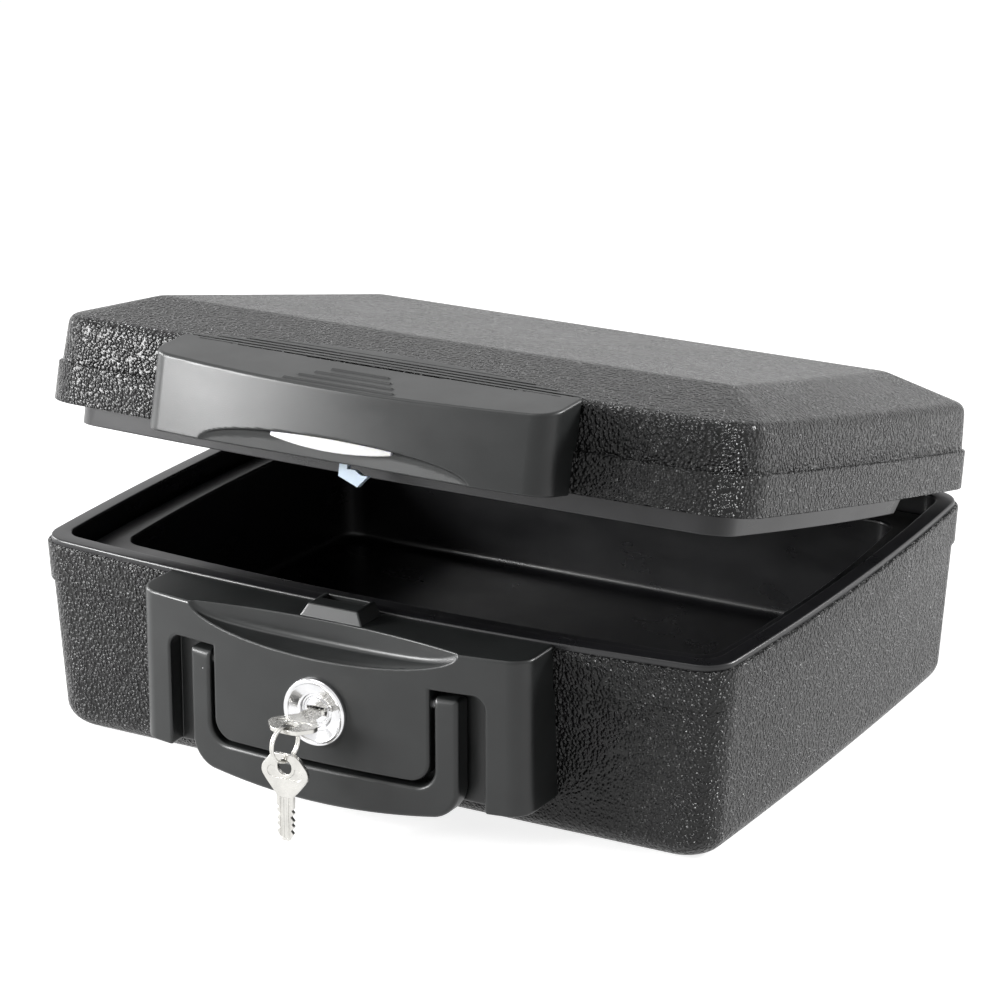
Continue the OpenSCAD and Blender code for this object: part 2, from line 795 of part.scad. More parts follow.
module lock_cam() {
    color([0.68, 0.69, 0.7])
        difference() {
            union() {
                along_y(0, cam_y, lock_z, 8, cam_t);
                translate([0, cam_y, lock_z - cam_w / 2]) cube([cam_len - 2, cam_t, cam_w]);
                translate([cam_len - finger_t, cam_y, lock_z - finger_w / 2])
                    cube([finger_t, hook_y + hook_t / 2 + 0.5 - cam_y, finger_w]);
            }
            translate([-tail_w / 2 - running_gap, cam_y - 1, lock_z - tail_w / 2 - running_gap])
                cube([tail_w + 2 * running_gap, cam_t + 2, tail_w + 2 * running_gap]);
        }
}

module cam_screw() {
    color([0.6, 0.6, 0.62])
        difference() {
            union() {
                along_y(0, cam_y - 3, lock_z, 1.5, 3 + cam_t, 32);
                along_y(0, cam_y + cam_t, lock_z, 6, 1, 48);
                along_y(0, cam_y + cam_t + 1, lock_z, 3.4, 1.8, 32);
            }
            translate([-4, cam_y + cam_t + 2, lock_z - 0.4]) cube([8, 2, 0.8]);
        }
}

// Flat key drawn in its own plane: the bow from -bow_len to 0, the blade ahead of it
module key_plan(blade, hole, hole_at, length) {
    difference() {
        union() {
            hull() {
                for (side = [-1, 1]) {
                    translate([side * (bow_w / 2 - 5), -bow_len + 8.5]) circle(5, $fn = 32);
                    translate([side * (bow_w / 2 - 8), -bow_len + 5]) circle(5, $fn = 32);
                    translate([side * 3.5, -2.5]) circle(2.5, $fn = 32);
                }
            }
            translate([-blade / 2, -2]) square([blade, length - 1]);
            polygon([[-blade / 2, length - 4], [blade / 2, length - 4], [blade / 5, length],
                [-blade / 5, length]]);
        }
        translate([0, hole_at]) circle(hole, $fn = 48);
        // Cuts on both edges of the blade
        for (i = [0:3], side = [-1, 1])
            translate([side * (blade / 2 + 0.6), 6.5 + i * 3.2 + side * 0.5])
                rotate(45) square([1.6 + (i % 2) * 0.5, 1.6 + (i % 2) * 0.5], center = true);
    }
}

module lock_key() {
    color([0.72, 0.72, 0.7])
        translate([0, key_y, lock_z - key_t / 2])
            linear_extrude(key_t)
                key_plan(blade_w, hole_r, hole_y - key_y, key_blade);
}

module key_ring() {
    // Two turns of wire lie side by side
    color([0.72, 0.72, 0.72])
        translate([0, land_y, ring_z])
            rotate([0, 0, -ring_turn])
                rotate([0, 90, 0])
                    rotate_extrude($fn = 96)
                        for (turn = [-1, 1])
                            translate([ring_d / 2 - wire_d / 2, turn * wire_d * 0.46])
                                circle(d = wire_d, $fn = 24);
}

module spare_key() {
    color([0.72, 0.72, 0.7])
        translate([0, land_y + key_t / 2, spare_hole_z])
            rotate([90, 0, 0])
                linear_extrude(key_t)
                    mirror([0, 1])
                        translate([0, bow_len - spare_hole_r - 2.4])
                            key_plan(blade_w, spare_hole_r, -bow_len + spare_hole_r + 2.4, spare_blade);
}

module lid_shell() {
    wall = shell_wall;
    color([0.1, 0.1, 0.11])
        opened()
            difference() {
                loft([
                    roof_ring(lid_top - wall, 0.5),
                    lid_ring(roof_z - wall * 0.8, lid_step + lid_draft + edge_round + wall * 0.6),
                    lid_ring(roof_z - edge_round - 2, lid_step + lid_draft + wall),
                    lid_ring(lid_z + lid_band_h, lid_step + wall),
                    lid_ring(lid_z, wall),
                    lid_ring(lid_z, 0.6),
                    lid_ring(lid_z + 0.8, 0),
                    lid_ring(lid_z + lid_band_h, 0.3),
                    lid_ring(lid_z + lid_band_h + rise, lid_step + 0.3),
                    lid_ring(roof_z - edge_round, lid_step + lid_draft),
                    lid_ring(roof_z - edge_round * 0.3, lid_step + lid_draft + edge_round * 0.3),
                    lid_ring(roof_z, lid_step + lid_draft + edge_round),
                    roof_ring(lid_top, 0)
                ]);
                for (at = cover_screw_at)
                    along_y(at[0], lid_front - 1, at[1], screw_d / 2 + running_gap, 24, 32);
                for (z = hook_screw_at)
                    along_y(0, lid_front - 1, z, screw_d / 2 + running_gap, 8, 32);
                hinge_holes(lid_rear - 6, lid_leaf_z, 10);
            }
}

module lid_insulation() {
    gap = shell_wall + fit_gap;
    side = shelf_side - liner_wall - fit_gap;
    front = shelf_front - liner_wall - fit_gap;
    color([0.78, 0.76, 0.7])
        opened()
            difference() {
                loft([
                    lid_inner_ring(ceiling_z + liner_wall + fit_gap, side + recess_draft,
                        front + recess_draft, side + recess_draft, well_r + 4),
                    lid_inner_ring(lid_z + flange_t + fit_gap, side, front, side, well_r + 5),
                    lid_ring(lid_z + flange_t + fit_gap, lid_step + gap),
                    lid_ring(lid_z + lid_band_h, lid_step + gap),
                    lid_ring(roof_z - edge_round - 2, lid_step + lid_draft + gap),
                    lid_ring(roof_z - gap * 0.8, lid_step + lid_draft + edge_round + gap * 0.7),
                    roof_ring(lid_top - gap, 1)
                ]);
                for (at = cover_screw_at)
                    along_y(at[0], lid_front, at[1], screw_d + 0.8, front_screw_len, 32);
                for (z = hook_screw_at)
                    along_y(0, lid_front, z, screw_d / 2 + 0.4, 12, 32);
                hinge_holes(lid_rear - 14, lid_leaf_z, 16);
            }
}

module lid_liner() {
    tongue_z = lid_z - tongue_h;
    shelf_z = lid_z + flange_t - liner_wall;
    side = tongue_side + liner_wall;
    front = tongue_front + liner_wall;
    color([0.07, 0.07, 0.075])
        opened()
            difference() {
                loft([
                    lid_inner_ring(ceiling_z, shelf_side + recess_draft, shelf_front + recess_draft,
                        shelf_side + recess_draft, well_r + 2),
                    lid_inner_ring(shelf_z, shelf_side, shelf_front, shelf_side, well_r + 3),
                    lid_inner_ring(shelf_z, side + 0.5, front + 0.5, side + 0.5, 13),
                    lid_inner_ring(tongue_z, side, front, side, 13),
                    lid_inner_ring(tongue_z, tongue_side + 0.4, tongue_front + 0.4, tongue_side, 14.5),
                    lid_inner_ring(lid_z, tongue_side, tongue_front, tongue_side, 15),
                    lid_ring(lid_z, flange_inset),
                    lid_ring(lid_z + flange_t, flange_inset + 0.3),
                    lid_inner_ring(lid_z + flange_t, shelf_side - liner_wall,
                        shelf_front - liner_wall, shelf_side - liner_wall, well_r + 5),
                    lid_inner_ring(ceiling_z + liner_wall, shelf_side - liner_wall + recess_draft,
                        shelf_front - liner_wall + recess_draft,
                        shelf_side - liner_wall + recess_draft, well_r + 4)
                ]);
                translate([-half_w, tongue_end_y, tongue_z - 1])
                    cube([body_w, body_d, tongue_h + 1]);
            }
}

function cover_top(y) = cover_top_front + cover_slope * (y - face_y);

// Solid form of the lid cover, shrunk by a wall for its hollow
module cover_form(inset) {
    edge = 1.2;
    intersection() {
        translate([0, 0, cover_z + inset])
            linear_extrude(60)
                front_plan(cover_hw - inset, face_y + inset, cover_rear + 20, cover_corner_r);
        // Side view: the top slopes up over the lid's front edge
        translate([-cover_hw - 1, 0, -inset])
            rotate([90, 0, 90])
                linear_extrude(2 * cover_hw + 2)
                    polygon([[face_y - 1, cover_z - 1], [cover_rear + 1, cover_z - 1],
                        [cover_rear + 1, cover_top(cover_rear + 1)],
                        [face_y + edge, cover_top(face_y + edge)],
                        [face_y, cover_top_front - edge], [face_y - 1, cover_top_front - 3 * edge]]);
        // Bowed rear edge
        translate([0, cover_rear - cover_rear_r, cover_z - 1])
            cylinder(r = cover_rear_r - inset, h = 60, $fn = 512);
    }
}

module lid_cover() {
    grips = [[28, 4.5], [24, 10.5], [19.5, 16.5], [15, 22.5]];
    rib_r = 0.9;
    color([0.09, 0.095, 0.1])
        opened()
            difference() {
                union() {
                    difference() {
                        cover_form(0);
                        finger_pull();
                        difference() {
                            cover_form(cover_wall);
                            // Wall round the finger pull
                            translate([-pull_half - cover_wall, face_y - 1, cover_z - 1])
                                cube([2 * (pull_half + cover_wall), pull_depth + cover_wall + 1,
                                    pull_rise + cover_wall + 1]);
                        }
                    }
                    // Screw bosses run back from the front wall
                    for (at = cover_screw_at)
                        let (y = face_y + sag(face_r, at[0]) + cover_wall / 2)
                            along_y(at[0], y, at[1], boss_r, lid_front + 8 - y);
                    // Grip ribs across the top
                    for (rib = grips)
                        along_x(-rib[0], face_y + rib[1], cover_top(face_y + rib[1]) - 0.2, rib_r,
                            2 * rib[0]);
                }
                for (at = cover_screw_at)
                    along_y(at[0], face_y + 16, at[1], screw_d / 2 + running_gap, 40, 32);
                // Way in for the receiver block
                translate([-receiver_hw - 2.5, receiver_front - 1.5, cover_z - 1])
                    cube([2 * receiver_hw + 5, 50, 12]);
                lid_envelope(seat_gap);
            }
}

// Pale tab below the ceiling of the finger pull, with its lower edge bowed down
module pull_tab() {
    front = 1.6;
    back = recess_lip;
    edge_rise = 4.8;
    edge_bow = 2.8;
    steps = 8;
    color([0.85, 0.87, 0.9])
        opened()
            loft([for (i = [-steps:steps])
                let (
                    x = tab_hw * i / steps,
                    y = face_y + sag(face_r, x),
                    low = cover_z + edge_rise + edge_bow * pow(x / tab_hw, 2),
                    top = cover_z + pull_rise * sqrt(1 - pow(x / pull_half, 2)) - 2 * seat_gap
                )
                [[x, y + front, low], [x, y + back, low], [x, y + back, top - lip_slope * back],
                    [x, y + front, top - lip_slope * front]]]);
}

module latch_hook() {
    foot_z = lid_z + 5.4;
    foot_top = lid_z + 22;
    back = hook_y + hook_t / 2;
    color([0.72, 0.78, 0.84])
        opened()
            difference() {
                union() {
                    translate([0, back, 0])
                        rotate([90, 0, 0])
                            linear_extrude(hook_t)
                                polygon([[-7, foot_top], [-7, lid_z - 8.8], [3, lid_z - 12.3],
                                    [7.7, lid_z - 6.9], [4.2, lid_z - 6.9], [1.1, lid_z - 5.1],
                                    [-3, lid_z - 5.1], [-3, lid_z - 0.4], [7, lid_z - 0.4],
                                    [7, foot_top]]);
                    translate([-7, back - 0.5, foot_z])
                        cube([14, 8, foot_top - foot_z]);
                }
                for (z = hook_screw_at)
                    along_y(0, hook_y - 5, z, screw_d / 2 + running_gap, 20, 32);
                lid_envelope(seat_gap);
            }
}

module hook_screws() {
    color([0.6, 0.6, 0.62])
        opened()
            for (z = hook_screw_at)
                screw(0, hook_y - hook_t / 2 - seat_gap, z, 12);
}

// Inner face of the lid shell's front within its band
function lid_front_inside(x, z) =
    lid_front + shell_wall + lid_step * (z - lid_z) / lid_band_h
        + sag(bow_radius(lid_hw, lid_front_bow), x);

// Inner face of the base shell's front
function base_front_inside(x, z) =
    let (
        lean = max(0, 1 - z / band_z),
        lower = band_draft + band_step,
        inset = z < band_z ? lower : lower * (shell_top - z) / (shell_top - band_z)
    )
    front_y + shell_wall + inset + lean * wall_draft
        + sag(bow_radius(half_w - lean * wall_draft, mix(front_bow, front_bow_low, lean)), x);

module cover_screws() {
    color([0.6, 0.6, 0.62])
        opened()
            for (at = cover_screw_at)
                screw(at[0], lid_front_inside(at[0], at[1]) + head_seat, at[1], front_screw_len,
                    -1);
}

module housing_screws() {
    color([0.6, 0.6, 0.62])
        for (at = housing_screw_at)
            screw(at[0], base_front_inside(at[0], at[1]) + head_seat, at[1], front_screw_len, -1);
}

// Knuckles along the hinge axis, with their true bore
module knuckle(x, length) {
    difference() {
        union() {
            along_x(x, hinge_y, hinge_z, knuckle_r, length);
            children();
        }
        along_x(x - 1, hinge_y, hinge_z, hinge_pin_r + running_gap, length + 2);
    }
}

outer_knuckle = hinge_w * 0.3;
inner_knuckle = hinge_w - 2 * outer_knuckle - 0.6;

module hinge_base_leaves() {
    plate_y = rear_y + seat_gap;
    plate_low = base_leaf_z - screw_d - 0.8;
    color([0.3, 0.3, 0.31])
        for (side = [-1, 1])
            translate([side * hinge_x, 0, 0])
                difference() {
                    union() {
                        translate([-hinge_w / 2, plate_y, plate_low])
                            cube([hinge_w, leaf_t, hinge_z - plate_low]);
                        for (x = [-hinge_w / 2, hinge_w / 2 - outer_knuckle])
                            knuckle(x, outer_knuckle)
                                translate([x, plate_y, hinge_z - knuckle_r])
                                    cube([outer_knuckle, hinge_out, leaf_t]);
                    }
                    for (dx = [-1, 1])
                        along_y(dx * hinge_screw_dx, plate_y - 1, base_leaf_z,
                            screw_d / 2 + running_gap, 10, 32);
                }
}

module hinge_lid_leaves() {
    plate_y = lid_rear + seat_gap;
    plate_h = 14;
    low = lid_leaf_z - plate_h / 2;
    color([0.3, 0.3, 0.31])
        opened()
            for (side = [-1, 1])
                translate([side * hinge_x, 0, 0])
                    difference() {
                        union() {
                            translate([-hinge_w / 2, plate_y, low])
                                cube([hinge_w, leaf_t, plate_h]);
                            knuckle(-inner_knuckle / 2, inner_knuckle) {
                                translate([-inner_knuckle / 2, plate_y, low])
                                    cube([inner_knuckle, hinge_y + leaf_t / 2 - plate_y, leaf_t]);
                                translate([-inner_knuckle / 2, hinge_y - leaf_t / 2, hinge_z])
                                    cube([inner_knuckle, leaf_t, low + leaf_t - hinge_z]);
                            }
                        }
                        for (dx = [-1, 1])
                            along_y(dx * hinge_screw_dx, plate_y - 1, lid_leaf_z,
                                screw_d / 2 + running_gap, 10, 32);
                    }
}

module hinge_pins() {
    color([0.6, 0.6, 0.62])
        for (side = [-1, 1]) {
            along_x(side * hinge_x - hinge_w / 2, hinge_y, hinge_z, hinge_pin_r, hinge_w);
            along_x(side * hinge_x - hinge_w / 2 - 1.6, hinge_y, hinge_z, hinge_pin_r + 1.2, 1.5);
        }
}

module hinge_screws_base() {
    color([0.6, 0.6, 0.62])
        for (side = [-1, 1], dx = [-1, 1])
            screw(side * hinge_x + dx * hinge_screw_dx, rear_y + leaf_t + 2 * seat_gap,
                base_leaf_z, hinge_screw_len, -1);
}

module hinge_screws_lid() {
    color([0.6, 0.6, 0.62])
        opened()
            for (side = [-1, 1], dx = [-1, 1])
                screw(side * hinge_x + dx * hinge_screw_dx, lid_rear + leaf_t + 2 * seat_gap,
                    lid_leaf_z, hinge_screw_len, -1);
}

base_shell();
base_insulation();
base_liner();
lock_housing();
latch_receiver();
carry_handle();
handle_pins();
lock_cylinder();
lock_plug();
lock_nut();
lock_cam();
cam_screw();
lock_key();
key_ring();
spare_key();
lid_shell();
lid_insulation();
lid_liner();
lid_cover();
pull_tab();
latch_hook();
hook_screws();
cover_screws();
housing_screws();
hinge_base_leaves();
hinge_lid_leaves();
hinge_pins();
hinge_screws_base();
hinge_screws_lid();
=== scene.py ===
"""Moulded fire-resistant chest with a key lock, standing part open in a studio."""
import math

import bpy
import numpy as np
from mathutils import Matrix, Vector


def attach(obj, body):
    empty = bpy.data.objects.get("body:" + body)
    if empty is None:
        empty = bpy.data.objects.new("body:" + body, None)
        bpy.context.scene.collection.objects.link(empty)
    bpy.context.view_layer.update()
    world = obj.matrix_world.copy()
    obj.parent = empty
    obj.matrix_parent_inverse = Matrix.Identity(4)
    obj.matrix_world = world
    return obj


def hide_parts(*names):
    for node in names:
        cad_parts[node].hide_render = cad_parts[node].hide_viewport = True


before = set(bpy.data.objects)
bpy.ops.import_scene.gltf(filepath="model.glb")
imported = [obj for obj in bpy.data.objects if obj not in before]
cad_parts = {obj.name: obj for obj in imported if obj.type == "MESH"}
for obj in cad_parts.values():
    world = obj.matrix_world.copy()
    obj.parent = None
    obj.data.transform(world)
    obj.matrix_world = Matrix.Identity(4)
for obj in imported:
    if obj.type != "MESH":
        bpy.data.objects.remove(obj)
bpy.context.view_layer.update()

MM = 0.001

# Sizes are in millimetres and follow the CAD source. The lid's are those of the shut lid.

# Base shell, its band below the rim and its bowed walls
HALF_W, REAR_Y, FRONT_Y = 181.5, 133.55, -144.25
SIDE_BOW, FRONT_BOW = 5.5, 10.7
SIDE_BOW_LOW, FRONT_BOW_LOW = 2.2, 1.0
WALL_DRAFT, CORNER_R, SHELL_WALL = 7.5, 16, 2.4
BOTTOM_R, BAND_Z, BAND_DRAFT, BAND_STEP, RISE = 11, 72, 1, 1.1, 0.6
SHELL_TOP, BASE_H = 90.2, 93

# Rim, groove, collar and well of the base liner
RIM_SETBACK, RIM_INSET, LINER_WALL = 1.6, 9.6, 2
GROOVE_Z, COLLAR_Z, COLLAR_UNDER, COLLAR_INSET = 81, 83, 79, 12.5
WELL_SIDE, WELL_FRONT, WELL_REAR, WELL_R, WELL_DRAFT, FLOOR_Z = 23.6, 39, 30, 11, 1.5, 25

# Lid shell with its band, facets and flat top
LID_Z, LID_TOP, LID_HW, LID_FRONT, LID_REAR = 93.6, 145.1, 182, -144.75, 134.05
LID_SIDE_BOW, LID_FRONT_BOW, LID_CORNER_R = 3.4, 9.2, 25
LID_BAND_H, LID_STEP, LID_DRAFT, ROOF_Z, EDGE_ROUND = 18.2, 1.6, 1.2, 133.6, 3
ROOF_SIDE, ROOF_TAPER, ROOF_FRONT, ROOF_REAR = 33, 9, 55, 33

# Flange, tongue and recess of the lid liner
FLANGE_INSET, FLANGE_T, TONGUE_H, TONGUE_SIDE, TONGUE_FRONT, TONGUE_END_Y = 2.7, 4, 10, 11, 13, 65
SHELF_SIDE, SHELF_FRONT, RECESS_DRAFT, CEILING_Z = 24, 33, 3, 117.6

# Hinge axis and the angle at which the lid stands
HINGE_Y, HINGE_Z, OPEN_ANGLE = 144.6, 84.2, 13.2

# Bowed face that the lock housing, the handle and the cover share
FACE_Y, FACE_R = -175.25, 500

# Lock housing, its finger recess and the slot round its panel
HOUSING_HW, HOUSING_R, HOUSING_Z, LEDGE_Z = 99, 9, 20, 92
SCOOP_HALF, SCOOP_DROP, SCOOP_DEPTH, SCOOP_END, SCOOP_SLOPE = 68.5, 13.3, 13.4, 1.5, 0.2
SLOT_HW, SLOT_TOP, PANEL_HW, PANEL_Z, RECESS_Y = 80.5, 73.7, 55.3, 30, -160.05
SLOT_R, PANEL_R = 6, 10
COVER_WALL, BOSS_R, PIN_BOSS_LEN = 2.8, 4.5, 8
SCREW_X, LOW_SCREW_UP, HIGH_SCREW_DOWN = 88, 12, 10
HOLLOW_REAR_Y, BEHIND_PANEL_RISE = -120, 3
HOOK_WAY_LOW, HOOK_WAY_HIGH = (-12, -156.95, LEDGE_Z - 10), (15, -144.75, LEDGE_Z + 5)
SHELL_OVERLAP = 0.3

# Carry handle and its pivots
HANDLE_HW, ARM_W, ARM_IN, HANDLE_Z, GRIP_TOP, HANDLE_T = 68.5, 11.2, 57.3, 10.5, 28, 9.5
BAR_BOW_R, HANDLE_OUTER_R, HANDLE_INNER_R = 415, 12, 9
PIVOT_Y, PIVOT_Z, ARM_TOP_R, PIN_HOLE_R, PIN_DEPTH = -166.25, 66, 5.6, 2.1, 2.2

# Cover on the lid, its finger pull and its grip ribs, each rib as half length and place
COVER_HW, COVER_R, COVER_Z, COVER_TOP_FRONT, COVER_SLOPE = 101.5, 10, 92.6, 125.1, 0.25
COVER_REAR, COVER_REAR_R = -121, 350
PULL_HALF, PULL_RISE, PULL_DEPTH, PULL_END, PULL_SLOPE = 68.3, 10.8, 7.2, 1.0, 0.6
RECESS_LIP, LIP_SLOPE, RECESS_FILLET = 3.4, 0.1, 2.2
GRIPS = ((28, 4.5), (24, 10.5), (19.5, 16.5), (15, 22.5))
GRIP_R, GRIP_SINK = 0.9, 0.2

# White tab in the finger pull
TAB_HW, TAB_FRONT, TAB_RISE, TAB_BOW = 30.6, 1.6, 4.8, 2.8

# Receiver block on the ledge for the lid's hook
RECEIVER_Z, RECEIVER_H, RECEIVER_HW, RECEIVER_DRAFT = 92, 6, 16, 3.4
RECEIVER_FRONT, RECEIVER_BACK, HOOK_Y = -161.65, -145.05, -148.95
HOOK_SLOT_HW, HOOK_SLOT_HALF_T = 10.5, 2.7

# Lock, as rings of radius and distance in front of the face
LOCK_Z, LOCK_HOLE_R, PLUG_R, LOCK_LEN, LOCK_BODY_R = 54.5, 11.1, 8, 18.5, 11
LOCK_BORE_R = PLUG_R + 0.05
LOCK_PROFILE = (
    (15.6, 0), (15.6, 1.5), (15.45, 1.85), (15.1, 2.25), (14.75, 2.4), (13.95, 2.4),
    (13.6, 2.3), (13.3, 1.95), (12.9, 1.72), (9.3, 0.5), (8.8, 0.28), (8.3, 0.2), (8.1, 0.05),
    (LOCK_BORE_R, -0.2), (LOCK_BORE_R, -LOCK_LEN), (LOCK_BODY_R, -LOCK_LEN), (LOCK_BODY_R, 0),
)
LOCK_TURNS = 128
PLUG_SET_BACK, PLUG_REAR, TAIL_HW, TAIL_FROM, TAIL_TO = 1, 17.1, 3.45, 15, 21.7
DISH_R, DISH_HALF_W, DISH_DEPTH = 6.3, 0.55, 0.5
KEYWAY_HALF_T, MOUTH_HW, MOUTH_HALF_T = 1.2, 5.2, 1.9

# Keys: the bow as circles of one side, the hole and the blade, measured from the shoulder
KEY_Y, KEY_T, BLADE_HW, SPARE_Z = -183.25, 2, 4.2, 24.7
BOW_CIRCLES = ((6.75, -10.5, 5), (3.75, -14, 5), (3.5, -2.5, 2.5))
LOCK_KEY_HOLE, LOCK_KEY_BLADE = (-12.5, 3.2), 22
SPARE_KEY_HOLE, SPARE_KEY_BLADE = (-13, 3.6), 21.5
TIP_LEN, TIP_SLOPE = 4, 0.62
CUTS, CUT_FROM, CUT_PITCH, CUT_STAGGER, CUT_DEPTH, CUT_DEEPER = 4, 6.5, 3.2, 0.5, 1.5, 0.5
BOW_PANEL, PANEL_SINK, PANEL_HOLE_RIM = (6.2, -10.2, 2.6), 0.3, 1.6
MILLED, MILL_SINK, MILL_END = ((0, 0.75), (2.1, 0.45)), 0.35, 1.2

# Split ring
RING_Y, RING_Z, RING_R, WIRE_R, RING_SIDE, RING_TURN = -200.6, 48.25, 8.15, 0.6, 0.552, 12
RING_STEPS, WIRE_SIDES, RING_START = 168, 16, 0.03
STEP_FROM, STEP_LEN, END_TAPER = 0.94, 0.12, 0.8

# Points along one half of an outline: front, corner, side, corner, rear
FRONT_N, CORNER_N, SIDE_N, REAR_N = 26, 11, 38, 16

# Camera: angles in degrees, then metres, and the lens in millimetres
VIEW_AZIMUTH, VIEW_ELEVATION, VIEW_DISTANCE = 29.19, 18.72, 1.7803
VIEW_TARGET = Vector((-0.0004, -0.0096, 0.1028))
LENS, SENSOR = 136.8, 36

# Soft boxes: name, place, aim, width and height in metres, and watts
CHEST_MIDDLE = (0, 0, 0.08)
SOFT_BOXES = (
    ("front_left_box", (-1.15, -1.1, 0.55), (-0.1, -0.1, 0.1), 0.5, 0.5, 37),
    ("left_box", (-1.5, -0.1, 0.45), CHEST_MIDDLE, 0.5, 0.5, 14),
    ("rear_right_box", (1.3, 0.95, 0.78), CHEST_MIDDLE, 0.5, 0.4, 30),
    ("top_box", (-0.5, -0.3, 1.7), CHEST_MIDDLE, 1.0, 1.0, 6),
)
WORLD_FILL, WORLD_SEEN, FLOOR_SEEN = 0.07, 1.0, 0.84
FLOOR_HALF, FLOOR_BELOW = 6.0, 0.0002


def mix(a, b, t):
    return a + (b - a) * t


def bow_radius(half, bow):
    return (half * half + bow * bow) / (2 * bow)


def sag(radius, offset):
    return radius - math.sqrt(radius * radius - offset * offset)


def arc(cx, cy, r, a0, a1, steps):
    a = np.radians(np.linspace(a0, a1, steps + 1))
    return np.stack([cx + r * np.cos(a), cy + r * np.sin(a)], 1)


def ring(z, hw, y0, y1, side_bow, front_bow, rear_bow, r):
    """Bowed rectangle with round corners, anticlockwise from the front middle."""
    mid = (y0 + y1) / 2
    side_r = bow_radius((y1 - y0) / 2, side_bow)
    front_r = bow_radius(hw, front_bow)
    back_r = bow_radius(hw, rear_bow)
    x_a = hw - r - sag(side_r - r, (y1 - y0) / 2 - r)
    fy_a = y0 + r + sag(front_r - r, x_a)
    ry_a = y1 - r - sag(back_r - r, x_a)
    fx = hw - r - sag(side_r - r, fy_a - mid)
    fy = y0 + r + sag(front_r - r, fx)
    rx = hw - r - sag(side_r - r, ry_a - mid)
    ry = y1 - r - sag(back_r - r, rx)
    a_front = -90 + math.degrees(math.asin(fx / (front_r - r)))
    a_side0 = math.degrees(math.asin((fy - mid) / (side_r - r)))
    a_side1 = math.degrees(math.asin((ry - mid) / (side_r - r)))
    a_rear = 90 - math.degrees(math.asin(rx / (back_r - r)))
    right = np.concatenate([
        arc(0, y0 + front_r, front_r, -90, a_front, FRONT_N)[:-1],
        arc(fx, fy, r, a_front, a_side0, CORNER_N)[:-1],
        arc(hw - side_r, mid, side_r, a_side0, a_side1, SIDE_N)[:-1],
        arc(rx, ry, r, a_side1, a_rear, CORNER_N)[:-1],
        arc(0, y1 - back_r, back_r, a_rear, 90, REAR_N),
    ])
    whole = np.concatenate([right, (right * (-1, 1))[-2:0:-1]])
    return np.column_stack([whole, np.full(len(whole), float(z))])


def base_ring(z, inset, lean=0.0):
    """Outline of the base shell; lean goes from 0 at the band to 1 at the underside."""
    return ring(z, HALF_W - inset - lean * WALL_DRAFT, FRONT_Y + inset + lean * WALL_DRAFT,
                REAR_Y - inset, mix(SIDE_BOW, SIDE_BOW_LOW, lean),
                mix(FRONT_BOW, FRONT_BOW_LOW, lean), 0.5,
                max(2, CORNER_R + lean * 2 - inset * 0.6))


def inner_ring(z, side, front, back, r):
    """Outline inside the base, set in by its own distance on each side."""
    return ring(z, HALF_W - side, FRONT_Y + front, REAR_Y - back, SIDE_BOW, FRONT_BOW * 0.8, 0.5, r)


def lid_ring(z, inset):
    """Outline of the lid shell."""
    return ring(z, LID_HW - inset, LID_FRONT + inset, LID_REAR - inset, LID_SIDE_BOW,
                LID_FRONT_BOW, 0.5, max(2, LID_CORNER_R - inset))


def lid_inner_ring(z, side, front, back, r):
    """Outline inside the lid, set in by its own distance on each side."""
    return ring(z, LID_HW - side, LID_FRONT + front, LID_REAR - back, SIDE_BOW, LID_FRONT_BOW,
                0.5, r)


def roof_ring(z, inset):
    """Outline of the flat top, narrower to the rear."""
    y0, y1 = LID_FRONT + ROOF_FRONT + inset, LID_REAR - ROOF_REAR - inset
    p = ring(z, LID_HW - ROOF_SIDE - inset, y0, y1, 0.4, 1, 0.5, 3)
    t = (p[:, 1] - y0) / (y1 - y0)
    p[:, 0] *= 1 - t * ROOF_TAPER / (LID_HW - ROOF_SIDE)
    return p


def soften(stack, steps=4):
    """Rounds the rings of a stack of (ring, cut-back distance) that have a distance."""
    out = []
    for k, (here, cut) in enumerate(stack):
        if not cut or k in (0, len(stack) - 1):
            out.append(here)
            continue
        ends = []
        for other in (stack[k - 1][0], stack[k + 1][0]):
            d = other - here
            length = np.maximum(np.linalg.norm(d, axis=1, keepdims=True), 1e-6)
            ends.append(here + d * np.minimum(cut / length, 0.48))
        for t in np.linspace(0, 1, steps + 1):
            out.append((1 - t) ** 2 * ends[0] + 2 * t * (1 - t) * here + t * t * ends[1])
    return out


def opened(points):
    """Turns closed-lid points about the hinge to where the lid stands."""
    a = math.radians(-OPEN_ANGLE)
    p = np.array(points, float)
    y, z = p[:, 1] - HINGE_Y, p[:, 2] - HINGE_Z
    p[:, 1] = HINGE_Y + y * math.cos(a) - z * math.sin(a)
    p[:, 2] = HINGE_Z + y * math.sin(a) + z * math.cos(a)
    return p


def turn_normals(normals):
    """Turns directions with the lid."""
    a = math.radians(-OPEN_ANGLE)
    n = np.array(normals, float)
    y, z = n[:, 1].copy(), n[:, 2].copy()
    n[:, 1] = y * math.cos(a) - z * math.sin(a)
    n[:, 2] = y * math.sin(a) + z * math.cos(a)
    return n


def add_piece(name, points, faces, body, material, stands_for=(), sharp=30, normals=None):
    """Makes a smooth-shaded mesh piece from millimetre points and puts it on its body."""
    mesh = bpy.data.meshes.new(name)
    mesh.from_pydata((np.asarray(points) * MM).tolist(), [], faces)
    mesh.validate()
    mesh.shade_smooth()
    if normals is not None:
        mesh.normals_split_custom_set_from_vertices(normals.tolist())
    elif sharp:
        mesh.set_sharp_from_angle(angle=math.radians(sharp))
    mesh.materials.append(material)
    piece = bpy.data.objects.new(name, mesh)
    bpy.context.scene.collection.objects.link(piece)
    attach(piece, body)
    if stands_for:
        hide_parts(*stands_for)
    return piece


